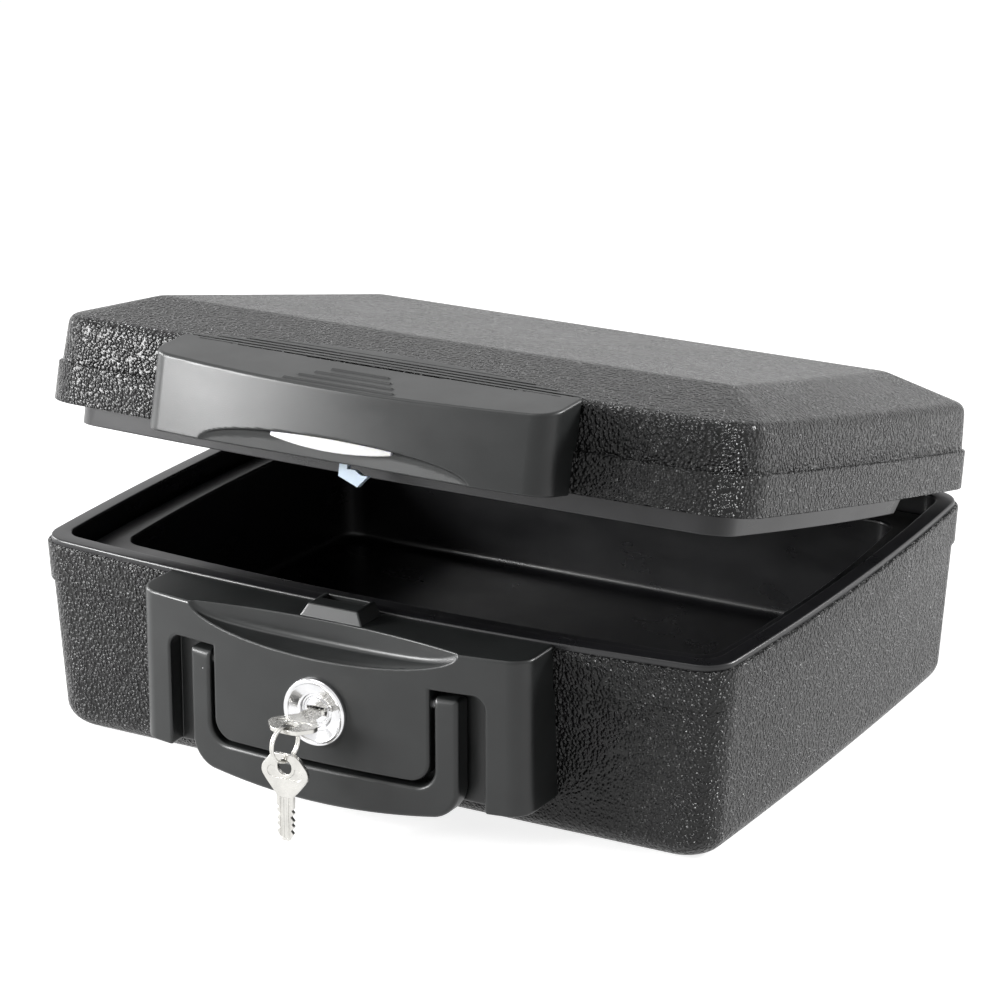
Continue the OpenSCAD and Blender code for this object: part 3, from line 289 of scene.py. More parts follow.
def loft(rings, flip=False):
    """Closed skin through rings that all have one point count."""
    n, last = len(rings[0]), len(rings) - 1
    faces = [list(range(n))[::-1]]
    for k in range(last):
        a = k * n
        for i in range(n):
            j = (i + 1) % n
            faces.append([a + i, a + j, a + n + j, a + n + i])
    faces.append([last * n + i for i in range(n)])
    if flip:
        faces = [f[::-1] for f in faces]
    return np.concatenate(rings), faces


def cell_surface(field, low, step):
    """Quad skin of field = 0, one point in each grid cell that the skin crosses."""
    inside = field < 0
    dims = [n - 1 for n in field.shape]
    corner = [(i, j, k) for i in (0, 1) for j in (0, 1) for k in (0, 1)]
    count = np.zeros(dims, np.int8)
    for i, j, k in corner:
        count += inside[i:dims[0] + i, j:dims[1] + j, k:dims[2] + k]
    cells = np.argwhere((count > 0) & (count < 8))
    index = np.full(dims, -1, np.int64)
    index[tuple(cells.T)] = np.arange(len(cells))
    total = np.zeros((len(cells), 3))
    hits = np.zeros(len(cells))
    for a in corner:
        for axis in range(3):
            if a[axis]:
                continue
            b = list(a)
            b[axis] = 1
            va = field[tuple((cells + a).T)]
            vb = field[tuple((cells + b).T)]
            cross = (va < 0) != (vb < 0)
            t = np.where(cross, va / np.where(cross, va - vb, 1), 0)
            p = np.array(a, float) + t[:, None] * (np.array(b) - np.array(a))
            total += p * cross[:, None]
            hits += cross
    points = (cells + total / hits[:, None]) * step + low
    quads = []
    for axis in range(3):
        u, v = [(1, 2), (2, 0), (0, 1)][axis]
        first = [slice(None)] * 3
        second = [slice(None)] * 3
        first[axis] = slice(0, -1)
        second[axis] = slice(1, None)
        edge = inside[tuple(first)] != inside[tuple(second)]
        at = np.argwhere(edge)
        keep = (at[:, u] > 0) & (at[:, v] > 0) & (at[:, u] < dims[u]) & (at[:, v] < dims[v])
        at = at[keep]
        outward = inside[tuple(at.T)]
        loop = []
        for du, dv in ((1, 1), (0, 1), (0, 0), (1, 0)):
            c = at.copy()
            c[:, u] -= du
            c[:, v] -= dv
            loop.append(index[tuple(c.T)])
        quad = np.stack(loop, 1)
        quad[~outward] = quad[~outward][:, ::-1]
        quads.append(quad)
    return points, np.concatenate(quads)


def slope_of(shape, p, h=0.06):
    """Gradient of a distance function at points p."""
    g = np.empty_like(p)
    for axis in range(3):
        d = np.zeros(3)
        d[axis] = h
        a, b = p + d, p - d
        g[:, axis] = (shape(a[:, 0], a[:, 1], a[:, 2]) - shape(b[:, 0], b[:, 1], b[:, 2])) / (2 * h)
    return g


def shaped_piece(name, shape, low, high, step, body, material, stands_for=(), lid=False):
    """Meshes a solid given by its distance function, with normals from the function itself."""
    low = np.array(low, float) - step * 1.5
    axes = [np.arange(a, b + step * 2.5, step) for a, b in zip(low, high)]
    x, y, z = np.meshgrid(*axes, indexing="ij", sparse=True)
    field = np.asarray(shape(x, y, z) + 0 * (x + y + z), float)
    points, quads = cell_surface(field, low, step)
    for _ in range(3):
        g = slope_of(shape, points)
        size = np.maximum((g * g).sum(1), 0.25)
        off = shape(points[:, 0], points[:, 1], points[:, 2]) / size
        points -= g * np.clip(off, -step, step)[:, None]
    normals = slope_of(shape, points)
    normals /= np.maximum(np.linalg.norm(normals, axis=1, keepdims=True), 1e-9)
    if lid:
        points, normals = opened(points), turn_normals(normals)
    return add_piece(name, points, quads.tolist(), body, material, stands_for,
                     normals=normals)


def meet(a, b, r=0.0):
    """Intersection with a rounded edge."""
    if not r:
        return np.maximum(a, b)
    u, v = np.maximum(a + r, 0), np.maximum(b + r, 0)
    return np.minimum(-r, np.maximum(a, b)) + np.sqrt(u * u + v * v)


def join(a, b, r=0.0):
    """Union with a filleted corner."""
    if not r:
        return np.minimum(a, b)
    u, v = np.maximum(r - a, 0), np.maximum(r - b, 0)
    return np.maximum(r, np.minimum(a, b)) - np.sqrt(u * u + v * v)


def carve(a, b, r=0.0):
    """Takes b out of a, with a rounded edge."""
    return meet(a, -b, r)


def block(x, y, z, low, high, r=0.0):
    """Box with rounded edges."""
    d = [np.abs(v - (a + b) / 2) - (b - a) / 2 + r for v, a, b in zip((x, y, z), low, high)]
    out = np.sqrt(sum(np.maximum(v, 0) ** 2 for v in d))
    return out + np.minimum(np.maximum(np.maximum(d[0], d[1]), d[2]), 0) - r


def rod(u, v, cu, cv, r):
    """Endless round rod through (cu, cv)."""
    return np.sqrt((u - cu) ** 2 + (v - cv) ** 2) - r


def face_arc(x, y, back=0.0):
    """Outside of the bowed front of the housing, the cover and the handle."""
    return np.sqrt(x * x + (y - FACE_Y - FACE_R) ** 2) - (FACE_R - back)


def finger_recess(x, y, z, plane_z, half, drop, depth, end_depth, slope, up):
    """Half ellipse cut into the bowed face, with a wall behind it and a slanting floor."""
    inward = -face_arc(x, y)
    wall = depth + (end_depth - depth) * np.minimum((x / half) ** 2, 1.2)
    near = np.minimum(RECESS_LIP, wall / 2)
    fall = np.maximum(up * (plane_z - z), 0) + LIP_SLOPE * np.minimum(inward, near)
    fall = np.maximum(fall + slope * np.maximum(inward - near, 0), 0.01)
    k = np.sqrt((x / half) ** 2 + (fall / drop) ** 2)
    rim = (k - 1) * k / np.sqrt((x / half ** 2) ** 2 + (fall / drop ** 2) ** 2)
    return meet(rim, inward - wall, RECESS_FILLET)


def bow_curve(x, bow):
    """How far a bowed wall falls back at each x."""
    r = bow_radius(HALF_W, bow)
    return r - np.sqrt(np.maximum(r * r - x * x, 1))


def base_front(x, z):
    """The front of the base shell, as a depth for each place."""
    lean = np.clip(1 - z / BAND_Z, 0, 1)
    inset = np.where(z < BAND_Z - RISE, BAND_DRAFT + BAND_STEP,
                     np.where(z < SHELL_TOP, BAND_DRAFT * (SHELL_TOP - z) / (SHELL_TOP - BAND_Z),
                              RIM_SETBACK))
    low = bow_curve(x, FRONT_BOW_LOW)
    return FRONT_Y + inset + lean * WALL_DRAFT + low + (bow_curve(x, FRONT_BOW) - low) * (1 - lean)


def lid_front(x, z):
    """The front of the lid shell, as a depth for each place."""
    inset = np.where(z < LID_Z + LID_BAND_H, 0.2, LID_STEP + 0.8)
    return LID_FRONT + inset + bow_curve(x, LID_FRONT_BOW)


def housing_shape(x, y, z):
    """Lock housing: bowed box with a finger recess, a handle slot and a hollow inside."""
    body = meet(face_arc(x, y), np.abs(x) - HOUSING_HW, HOUSING_R)
    body = meet(body, z - LEDGE_Z, 1.6)
    body = meet(body, HOUSING_Z - z, 1.2)
    recess = finger_recess(x, y, z, LEDGE_Z, SCOOP_HALF, SCOOP_DROP, SCOOP_DEPTH, SCOOP_END,
                           SCOOP_SLOPE, 1)
    body = carve(body, recess, 0.8)
    slot = meet(np.abs(x) - SLOT_HW, z - SLOT_TOP, SLOT_R)
    panel = meet(np.abs(x) - PANEL_HW, PANEL_Z - z, PANEL_R)
    body = carve(body, np.maximum(np.maximum(slot, -panel), y - RECESS_Y), 1.5)
    # Room inside for the cam and the hook, with bosses for the handle's pins and the screws
    hollow = block(x, y, z,
                   (-HOUSING_HW + COVER_WALL, RECESS_Y + COVER_WALL, HOUSING_Z + COVER_WALL),
                   (HOUSING_HW - COVER_WALL, HOLLOW_REAR_Y, LEDGE_Z - COVER_WALL))
    behind = np.maximum(face_arc(x, y, COVER_WALL), np.abs(x) - PANEL_HW + COVER_WALL)
    behind = np.maximum(behind, np.maximum(PANEL_Z + COVER_WALL - z,
                                           z - SLOT_TOP - BEHIND_PANEL_RISE))
    pin_boss = np.maximum(rod(y, z, PIVOT_Y, PIVOT_Z, BOSS_R), PANEL_HW - PIN_BOSS_LEN - np.abs(x))
    screw_boss = np.minimum(rod(np.abs(x), z, SCREW_X, HOUSING_Z + LOW_SCREW_UP, BOSS_R),
                            rod(np.abs(x), z, SCREW_X, LEDGE_Z - HIGH_SCREW_DOWN, BOSS_R))
    room = carve(carve(np.minimum(hollow, behind), pin_boss), screw_boss)
    body = carve(body, room, 0)
    body = carve(body, rod(x, z, 0, LOCK_Z, LOCK_HOLE_R), 0.5)
    body = carve(body, block(x, y, z, HOOK_WAY_LOW, HOOK_WAY_HIGH), 0.4)
    return np.maximum(body, y - base_front(x, z) - SHELL_OVERLAP)


def cover_top(y):
    """Height of the cover's sloping top."""
    return COVER_TOP_FRONT + COVER_SLOPE * (y - FACE_Y)


def cover_shape(x, y, z):
    """Cover on the front of the lid, with its finger pull, ribs and mouth for the receiver."""
    body = meet(face_arc(x, y), np.abs(x) - COVER_HW, COVER_R)
    body = meet(body, rod(x, y, 0, COVER_REAR - COVER_REAR_R, COVER_REAR_R), 0.5)
    body = meet(body, (z - cover_top(y)) / math.hypot(1, COVER_SLOPE), 1.3)
    body = meet(body, COVER_Z - z, 0.8)
    recess = finger_recess(x, y, z, COVER_Z, PULL_HALF, PULL_RISE, PULL_DEPTH, PULL_END,
                           PULL_SLOPE, -1)
    body = carve(body, recess, 0.6)
    for half, back in GRIPS:
        middle = FACE_Y + back
        over = np.maximum(np.abs(x) - half + GRIP_R, 0)
        up = z - cover_top(middle) + GRIP_SINK
        rib = np.sqrt(over ** 2 + (y - middle) ** 2 + up ** 2) - GRIP_R
        body = join(body, rib, 0.35)
    mouth = block(x, y, z, (-RECEIVER_HW - 2.5, RECEIVER_FRONT - 1.5, COVER_Z - 5),
                  (RECEIVER_HW + 2.5, -130, COVER_Z + 11))
    body = carve(body, mouth, 0.5)
    facet = (LID_TOP - ROOF_Z) / (ROOF_FRONT - LID_STEP - LID_DRAFT - EDGE_ROUND)
    over = z - ROOF_Z - (y - LID_FRONT - LID_STEP - LID_DRAFT - EDGE_ROUND) * facet
    inside_lid = np.maximum(lid_front(x, z) + SHELL_OVERLAP - y, over + 0.05)
    return np.maximum(body, -inside_lid)


def tab_shape(x, y, z):
    """White lens-shaped tab under the roof of the finger pull."""
    inward = -face_arc(x, y)
    low = COVER_Z + TAB_RISE + TAB_BOW * (x / TAB_HW) ** 2
    ceiling = COVER_Z + PULL_RISE * np.sqrt(np.maximum(1 - (x / PULL_HALF) ** 2, 0.01))
    front = TAB_FRONT + 0.5 * np.clip((z - ceiling + 2.4) / 2, 0, 1)
    body = meet(front - inward, low - z, 0.6)
    body = meet(body, np.abs(x) - TAB_HW, 0.5)
    body = np.maximum(body, inward - RECESS_LIP)
    return np.maximum(body, z - ceiling + 0.2 + LIP_SLOPE * inward)


def handle_shape(x, y, z):
    """U-shaped handle with a bowed bar and two arms that end in round crowns."""
    plan = meet(np.abs(x) - HANDLE_HW, rod(x, z, 0, HANDLE_Z + BAR_BOW_R, BAR_BOW_R),
                HANDLE_OUTER_R)
    top = PIVOT_Z + ARM_W / 2 - 0.8
    hole = meet(np.abs(x) - ARM_IN, GRIP_TOP - z, HANDLE_INNER_R)
    plan = meet(meet(plan, z - top, 2), -hole, 0.2)
    body = meet(plan, face_arc(x, y), 2.2)
    body = meet(body, -face_arc(x, y, HANDLE_T), 1.2)
    crown = np.where(z > PIVOT_Z, rod(y, z, PIVOT_Y, PIVOT_Z, ARM_TOP_R),
                     np.abs(y - PIVOT_Y) - ARM_TOP_R)
    crown = np.where(z < PIVOT_Z - 4, -5, crown)
    body = meet(body, crown, 0.8)
    pin_hole = np.maximum(rod(y, z, PIVOT_Y, PIVOT_Z, PIN_HOLE_R), np.abs(x) - HANDLE_HW + PIN_DEPTH)
    return carve(body, pin_hole, 0)


def hull_plan(u, v, circles):
    """Convex hull of circles, each given as (u, v, radius)."""
    out = None
    for a in np.linspace(0, 2 * math.pi, 73)[:-1]:
        c, s = math.cos(a), math.sin(a)
        side = u * c + v * s - max(cu * c + cv * s + r for cu, cv, r in circles)
        out = side if out is None else np.maximum(out, side)
    return out


def key_shape(u, v, w, hole_at, hole_r, blade_len):
    """Flat double-sided key: u across, v from the bow to the tip, w through its thickness."""
    bow = hull_plan(u, v, [(s * cu, cv, r) for s in (-1, 1) for cu, cv, r in BOW_CIRCLES])
    lean = np.maximum(v - (blade_len - TIP_LEN), 0) * TIP_SLOPE
    blade = np.maximum(np.abs(u) - BLADE_HW + lean, np.maximum(-2 - v, v - blade_len))
    plan = join(bow, blade, 0.8)
    for k in range(CUTS):
        for s in (-1, 1):
            depth = CUT_DEPTH + CUT_DEEPER * (k % 2)
            along = np.abs(v - CUT_FROM - k * CUT_PITCH - s * CUT_STAGGER)
            cut = along + np.abs(u - s * (BLADE_HW + 0.5)) - depth
            plan = np.maximum(plan, -cut * 0.7)
    hole = np.sqrt(u * u + (v - hole_at) ** 2) - hole_r
    plan = meet(plan, -hole, 0)
    solid = meet(plan, np.abs(w) - KEY_T / 2, 0.28)
    side, level, r = BOW_PANEL
    panel = np.maximum(hull_plan(u, v, [(s * side, level, r) for s in (-1, 1)]),
                       PANEL_HOLE_RIM - hole)
    solid = carve(solid, meet(panel, KEY_T / 2 - PANEL_SINK - np.abs(w), 0), 0.12)
    for at, half in MILLED:
        mill = meet(np.abs(np.abs(u) - at) - half,
                    np.maximum(MILL_END - v, v - blade_len + MILL_END))
        solid = carve(solid, meet(mill, KEY_T / 2 - MILL_SINK - np.abs(w), 0), 0.1)
    return solid


def lock_key_shape(x, y, z):
    return key_shape(x, y - KEY_Y, z - LOCK_Z, *LOCK_KEY_HOLE, LOCK_KEY_BLADE)


def spare_key_shape(x, y, z):
    return key_shape(x, SPARE_Z - z, y - RING_Y, *SPARE_KEY_HOLE, SPARE_KEY_BLADE)


def plug_shape(x, y, z):
    """Turning core with a ringed face, a keyway with a bevelled mouth and a square tail."""
    dz = z - LOCK_Z
    r = np.sqrt(x * x + dz * dz)
    front = FACE_Y + PLUG_SET_BACK
    core = meet(r - PLUG_R, np.maximum(front - y, y - (FACE_Y + PLUG_REAR)), 0.35)
    dish = np.maximum(np.abs(r - DISH_R) - DISH_HALF_W, y - (front + DISH_DEPTH))
    core = carve(core, dish, 0.15)
    tail = block(x, y, dz, (-TAIL_HW, FACE_Y + TAIL_FROM, -TAIL_HW),
                 (TAIL_HW, FACE_Y + TAIL_TO, TAIL_HW), 0.3)
    core = join(core, tail, 0.2)
    keyway = np.maximum(np.abs(x) - BLADE_HW - 0.2, np.abs(dz) - KEYWAY_HALF_T)
    mouth = np.maximum(np.abs(x) - MOUTH_HW, np.abs(dz) - MOUTH_HALF_T) + (y - front) * 0.9
    return carve(core, np.minimum(keyway, np.maximum(mouth, y - front - 2)), 0.12)


def lock_escutcheon(materials):
    """Turned lock body with a bevelled ring and a conical dish round the plug."""
    n = len(LOCK_PROFILE)
    points, faces = [], []
    for k in range(LOCK_TURNS):
        a = 2 * math.pi * k / LOCK_TURNS
        points += [(r * math.cos(a), FACE_Y - out, LOCK_Z + r * math.sin(a))
                   for r, out in LOCK_PROFILE]
        here, ahead = k * n, (k + 1) % LOCK_TURNS * n
        for i in range(n):
            j = (i + 1) % n
            faces.append((here + i, here + j, ahead + j, ahead + i))
    add_piece("lock_escutcheon", points, faces, "base", materials["chrome"],
              ["lock_cylinder"], sharp=24)


def ring_path():
    """Middle line of two turns of wire, with a step from one turn to the other."""
    path = []
    for k in range(RING_STEPS + 1):
        turn = 2 * k / RING_STEPS
        ramp = min(max((turn - STEP_FROM) / STEP_LEN, 0), 1)
        side = RING_SIDE * (2 * ramp * ramp * (3 - 2 * ramp) - 1)
        a = 2 * math.pi * (turn + RING_START) - math.pi / 2 * 1.5
        path.append(np.array((side, RING_R * math.cos(a), RING_R * math.sin(a))))
    return path


def split_ring(materials):
    """Ring wound from one wire, with two free ends."""
    path = ring_path()
    points, faces = [], []
    for k, here in enumerate(path):
        ahead = path[min(k + 1, RING_STEPS)] - path[max(k - 1, 0)]
        ahead /= np.linalg.norm(ahead)
        up = np.cross(ahead, (1, 0, 0))
        up /= np.linalg.norm(up)
        out = np.cross(up, ahead)
        wire = WIRE_R * (END_TAPER if k in (0, RING_STEPS) else 1)
        for i in range(WIRE_SIDES):
            b = 2 * math.pi * i / WIRE_SIDES
            points.append(here + wire * (math.cos(b) * up + math.sin(b) * out))
            if k < RING_STEPS:
                j = (i + 1) % WIRE_SIDES
                near, far = k * WIRE_SIDES, (k + 1) * WIRE_SIDES
                faces.append((near + i, near + j, far + j, far + i))
    last = RING_STEPS * WIRE_SIDES
    faces += [tuple(range(WIRE_SIDES))[::-1], tuple(last + i for i in range(WIRE_SIDES))]
    points = np.array(points)
    a = math.radians(-RING_TURN)
    turned = np.column_stack([points[:, 0] * math.cos(a) - points[:, 1] * math.sin(a),
                              points[:, 0] * math.sin(a) + points[:, 1] * math.cos(a),
                              points[:, 2]])
    add_piece("split_ring", turned + (0, RING_Y, RING_Z), faces, "ring",
              materials["nickel"], ["key_ring"], sharp=50)


def receiver_shape(x, y, z):
    """Block with leaning sides and front, and the slot that takes the lid's hook."""
    lean = RECEIVER_DRAFT / math.hypot(RECEIVER_DRAFT, RECEIVER_H)
    side = np.abs(x) - RECEIVER_HW + RECEIVER_DRAFT * (z - RECEIVER_Z) / RECEIVER_H
    side = side * math.cos(math.asin(lean))
    a = math.radians(70)
    front = -(y - RECEIVER_FRONT) * math.sin(a) + (z - RECEIVER_Z - 1.5) * math.cos(a)
    body = meet(meet(side, front, 0.7), z - RECEIVER_Z - RECEIVER_H, 0.7)
    body = np.maximum(np.maximum(body, y - RECEIVER_BACK), RECEIVER_Z + 0.02 - z)
    slot = block(x, y, z, (-HOOK_SLOT_HW, HOOK_Y - HOOK_SLOT_HALF_T, RECEIVER_Z - 5),
                 (HOOK_SLOT_HW, HOOK_Y + HOOK_SLOT_HALF_T, RECEIVER_Z + 20))
    return carve(body, slot, 0.5)


def base_shell_piece(materials):
    """Grained outer shell of the base, from its rounded underside up and back down inside."""
    lower = BAND_DRAFT + BAND_STEP
    stack = []
    for a in np.linspace(0, 90, 10):
        z = BOTTOM_R * (1 - math.cos(math.radians(a)))
        inset = lower + BOTTOM_R * (1 - math.sin(math.radians(a)))
        stack.append((base_ring(z, inset, 1 - z / BAND_Z), 0))
    for z in (28, 50, 66):
        stack.append((base_ring(z, lower, 1 - z / BAND_Z), 0))
    stack += [(base_ring(BAND_Z - RISE, lower), 0.5), (base_ring(BAND_Z, BAND_DRAFT), 0.6),
              (base_ring(SHELL_TOP, 0.1), 1.1), (base_ring(SHELL_TOP, SHELL_WALL), 0),
              (base_ring(BAND_Z, lower + SHELL_WALL), 0)]
    inner = BOTTOM_R - SHELL_WALL
    for a in (90, 45, 0):
        z = SHELL_WALL + inner * (1 - math.cos(math.radians(a)))
        inset = lower + SHELL_WALL + inner * (1 - math.sin(math.radians(a)))
        stack.append((base_ring(z, inset, 1 - z / BAND_Z), 0))
    points, faces = loft(soften(stack))
    add_piece("chest_shell", points, faces, "base", materials["shell"],
              ["base_shell"], sharp=40)


def base_liner_piece(materials):
    """Rim, groove, collar and well of the base."""
    stack = [
        (inner_ring(FLOOR_Z - LINER_WALL, WELL_SIDE - LINER_WALL + WELL_DRAFT,
                    WELL_FRONT - LINER_WALL + WELL_DRAFT, WELL_REAR - LINER_WALL + WELL_DRAFT,
                    WELL_R + 2), 0),
        (inner_ring(COLLAR_UNDER, WELL_SIDE - LINER_WALL, WELL_FRONT - LINER_WALL,
                    WELL_REAR - LINER_WALL, WELL_R + 3), 0),
        (base_ring(COLLAR_UNDER, RIM_INSET - LINER_WALL), 0),
        (base_ring(SHELL_TOP, RIM_INSET - LINER_WALL), 0),
        (base_ring(SHELL_TOP, RIM_SETBACK), 0),
        (base_ring(BASE_H, RIM_SETBACK), 1.3),
        (base_ring(BASE_H, RIM_INSET), 1.3),
        (base_ring(GROOVE_Z, RIM_INSET), 0.5),
        (base_ring(GROOVE_Z, COLLAR_INSET), 0.5),
        (base_ring(COLLAR_Z, COLLAR_INSET), 0.9),
        (inner_ring(COLLAR_Z, WELL_SIDE, WELL_FRONT, WELL_REAR, WELL_R), 1.6),
        (inner_ring(FLOOR_Z, WELL_SIDE + WELL_DRAFT, WELL_FRONT + WELL_DRAFT,
                    WELL_REAR + WELL_DRAFT, WELL_R), 5),
        (inner_ring(FLOOR_Z, WELL_SIDE + 12, WELL_FRONT + 12, WELL_REAR + 12, 5), 0),
    ]
    points, faces = loft(soften(stack, 5))
    add_piece("well_liner", points, faces, "base", materials["liner"],
              ["base_liner"], sharp=40)


def lid_shell_piece(materials):
    """Grained outer shell of the lid, from under its top down and up again outside."""
    edge = LID_STEP + LID_DRAFT
    wall = SHELL_WALL
    stack = [
        (roof_ring(LID_TOP - wall, 0.5), 0),
        (lid_ring(ROOF_Z - wall * 0.8, edge + EDGE_ROUND + wall * 0.6), 0),
        (lid_ring(ROOF_Z - EDGE_ROUND - 2, edge + wall), 0),
        (lid_ring(LID_Z + LID_BAND_H, LID_STEP + wall), 0),
        (lid_ring(LID_Z, wall), 0),
        (lid_ring(LID_Z, 0), 1.0),
        (lid_ring(LID_Z + LID_BAND_H, 0.3), 0.6),
        (lid_ring(LID_Z + LID_BAND_H + RISE, LID_STEP + 0.3), 0.5),
        (lid_ring(ROOF_Z - 0.4, edge + 0.2), 4.2),
        (roof_ring(LID_TOP, 0), 3.0),
        (roof_ring(LID_TOP, 12), 0),
    ]
    points, faces = loft(soften(stack, 6))
    add_piece("lid_skin", opened(points), faces, "lid", materials["shell"],
              ["lid_shell"], sharp=40)


def lid_liner_piece(materials):
    """Recess, shelf, tongue and flange of the lid."""
    tongue_z, shelf_z = LID_Z - TONGUE_H, LID_Z + FLANGE_T - LINER_WALL
    side, front = TONGUE_SIDE + LINER_WALL, TONGUE_FRONT + LINER_WALL

    def tongue(inset_side, inset_front, r):
        p = lid_inner_ring(tongue_z, inset_side, inset_front, inset_side, r)
        t = np.clip((p[:, 1] - TONGUE_END_Y + 4) / 4, 0, 1)
        p[:, 2] = tongue_z + t * t * (3 - 2 * t) * (LID_Z - tongue_z)
        return p

    stack = [
        (lid_inner_ring(CEILING_Z, SHELF_SIDE + 14, SHELF_FRONT + 14, SHELF_SIDE + 14, 5), 0),
        (lid_inner_ring(CEILING_Z, SHELF_SIDE + RECESS_DRAFT, SHELF_FRONT + RECESS_DRAFT,
                        SHELF_SIDE + RECESS_DRAFT, WELL_R + 2), 4),
        (lid_inner_ring(shelf_z, SHELF_SIDE, SHELF_FRONT, SHELF_SIDE, WELL_R + 3), 1.5),
        (lid_inner_ring(shelf_z, side + 0.5, front + 0.5, side + 0.5, 13), 0.6),
        (tongue(side, front, 13), 0.5),
        (tongue(TONGUE_SIDE, TONGUE_FRONT + 0.2, 14.5), 0.7),
        (lid_inner_ring(LID_Z, TONGUE_SIDE, TONGUE_FRONT, TONGUE_SIDE, 15), 0.4),
        (lid_ring(LID_Z, FLANGE_INSET), 0.4),
        (lid_ring(LID_Z + FLANGE_T, FLANGE_INSET + 0.3), 0),
        (lid_inner_ring(LID_Z + FLANGE_T, SHELF_SIDE - LINER_WALL, SHELF_FRONT - LINER_WALL,
                        SHELF_SIDE - LINER_WALL, WELL_R + 5), 0),
        (lid_inner_ring(CEILING_Z + LINER_WALL, SHELF_SIDE - LINER_WALL + RECESS_DRAFT,
                        SHELF_FRONT - LINER_WALL + RECESS_DRAFT,
                        SHELF_SIDE - LINER_WALL + RECESS_DRAFT, WELL_R + 4), 0),
    ]
    points, faces = loft(soften(stack, 5), flip=True)
    add_piece("lid_inner", opened(points), faces, "lid", materials["liner"],
              ["lid_liner"], sharp=40)


class Nodes:
    """Small helper to build a node material."""

    def __init__(self, name, color, roughness, metallic=0.0, specular=0.5):
        self.material = bpy.data.materials.new(name)
        self.material.use_nodes = True
        self.tree = self.material.node_tree
        self.shader = self.tree.nodes["Principled BSDF"]
        self.shader.inputs["Base Color"].default_value = (*color, 1)
        self.shader.inputs["Roughness"].default_value = roughness
        self.shader.inputs["Metallic"].default_value = metallic
        self.shader.inputs["Specular IOR Level"].default_value = specular
        self.place = self.add("ShaderNodeTexCoord").outputs["Object"]

    def add(self, kind, **values):
        node = self.tree.nodes.new(kind)
        for key, value in values.items():
            setattr(node, key, value)
        return node

    def link(self, source, target):
        self.tree.links.new(source, target)

    def noise(self, scale, detail=3.0, roughness=0.5, stretch=None):
        node = self.add("ShaderNodeTexNoise")
        node.inputs["Scale"].default_value = scale
        node.inputs["Detail"].default_value = detail
        node.inputs["Roughness"].default_value = roughness
        place = self.place
        if stretch:
            scaler = self.add("ShaderNodeMapping")
            scaler.inputs["Scale"].default_value = stretch
            self.link(place, scaler.inputs["Vector"])
            place = scaler.outputs["Vector"]
        self.link(place, node.inputs["Vector"])
        return node.outputs["Fac"]

    def ramp(self, source, low, high, out_low, out_high):
        node = self.add("ShaderNodeMapRange")
        for name, value in (("From Min", low), ("From Max", high), ("To Min", out_low),
                            ("To Max", out_high)):
            node.inputs[name].default_value = value
        self.link(source, node.inputs["Value"])
        return node.outputs["Result"]

    def blend_color(self, source, first, second):
        node = self.add("ShaderNodeMix", data_type="RGBA")
        node.inputs["A"].default_value = (*first, 1)
        node.inputs["B"].default_value = (*second, 1)
        self.link(source, node.inputs["Factor"])
        self.link(node.outputs["Result"], self.shader.inputs["Base Color"])

    def bump(self, height, distance, strength=1.0, below=None):
        node = self.add("ShaderNodeBump")
        node.inputs["Strength"].default_value = strength
        node.inputs["Distance"].default_value = distance
        self.link(height, node.inputs["Height"])
        if below is not None:
            self.link(below, node.inputs["Normal"])
        self.link(node.outputs["Normal"], self.shader.inputs["Normal"])
        return node.outputs["Normal"]


def grained_plastic():
    """Black plastic with a crisp pebbled moulding grain of one to two millimetres, and painted shade
    that darkens the crevices between the pebbles.
    """
    m = Nodes("grained_plastic", (0.02, 0.02, 0.021), 0.27, specular=0.34)
    noise = m.add("ShaderNodeTexNoise")
    noise.inputs["Scale"].default_value = 420
    noise.inputs["Detail"].default_value = 2
    m.link(m.place, noise.inputs["Vector"])
    small = m.add("ShaderNodeVectorMath", operation="SCALE")
    small.inputs["Scale"].default_value = 0.0012
    m.link(noise.outputs["Color"], small.inputs[0])
    warp = m.add("ShaderNodeVectorMath", operation="ADD")
    m.link(m.place, warp.inputs[0])
    m.link(small.outputs["Vector"], warp.inputs[1])
    cells = m.add("ShaderNodeTexVoronoi", feature="F1")
    cells.inputs["Scale"].default_value = 600
    m.link(warp.outputs["Vector"], cells.inputs["Vector"])
    pebble = m.ramp(cells.outputs["Distance"], 0.1, 0.7, 1, 0)
    clump = m.bump(m.noise(300, 2), 0.0009, 0.8)
    fine = m.bump(m.noise(2600, 2), 0.00005, 0.6, clump)
    m.bump(pebble, 0.0013, 1.0, fine)
    # Painted shade: the colour falls to near black in the crevices between the pebbles and is
    # lighter on their tops
    m.blend_color(pebble, (0.002, 0.002, 0.002), (0.022, 0.022, 0.023))
    m.link(m.ramp(m.noise(35, 3), 0.3, 0.7, 0.25, 0.29), m.shader.inputs["Roughness"])
    return m.material


def satin_plastic(name, color, rough):
    """Smooth satin moulding with faint flow marks."""
    m = Nodes(name, color, rough)
    soft = m.noise(28, 4, 0.55, (1, 1, 2.2))
    m.link(m.ramp(soft, 0.3, 0.7, rough - 0.04, rough + 0.05), m.shader.inputs["Roughness"])
    lift = tuple(c * 1.35 for c in color)
    m.blend_color(m.ramp(m.noise(60, 5), 0.35, 0.7, 0, 1), color, lift)
    first = m.bump(m.noise(1900, 3), 0.00004, 0.6)
    m.bump(m.noise(90, 2), 0.00005, 0.25, first)
    return m.material


def metal(name, color, rough):
    """Plated metal with fine drawn lines and a slightly cloudy tone."""
    m = Nodes(name, color, rough, metallic=1.0)
    lines = m.noise(900, 3, 0.6, (1, 1, 12))
    m.link(m.ramp(lines, 0.3, 0.7, rough * 0.75, rough * 1.35), m.shader.inputs["Roughness"])
    dark = tuple(c * 0.82 for c in color)
    m.blend_color(m.ramp(m.noise(140, 4), 0.35, 0.75, 0, 1), color, dark)
    m.bump(lines, 0.00001, 0.35)
    return m.material


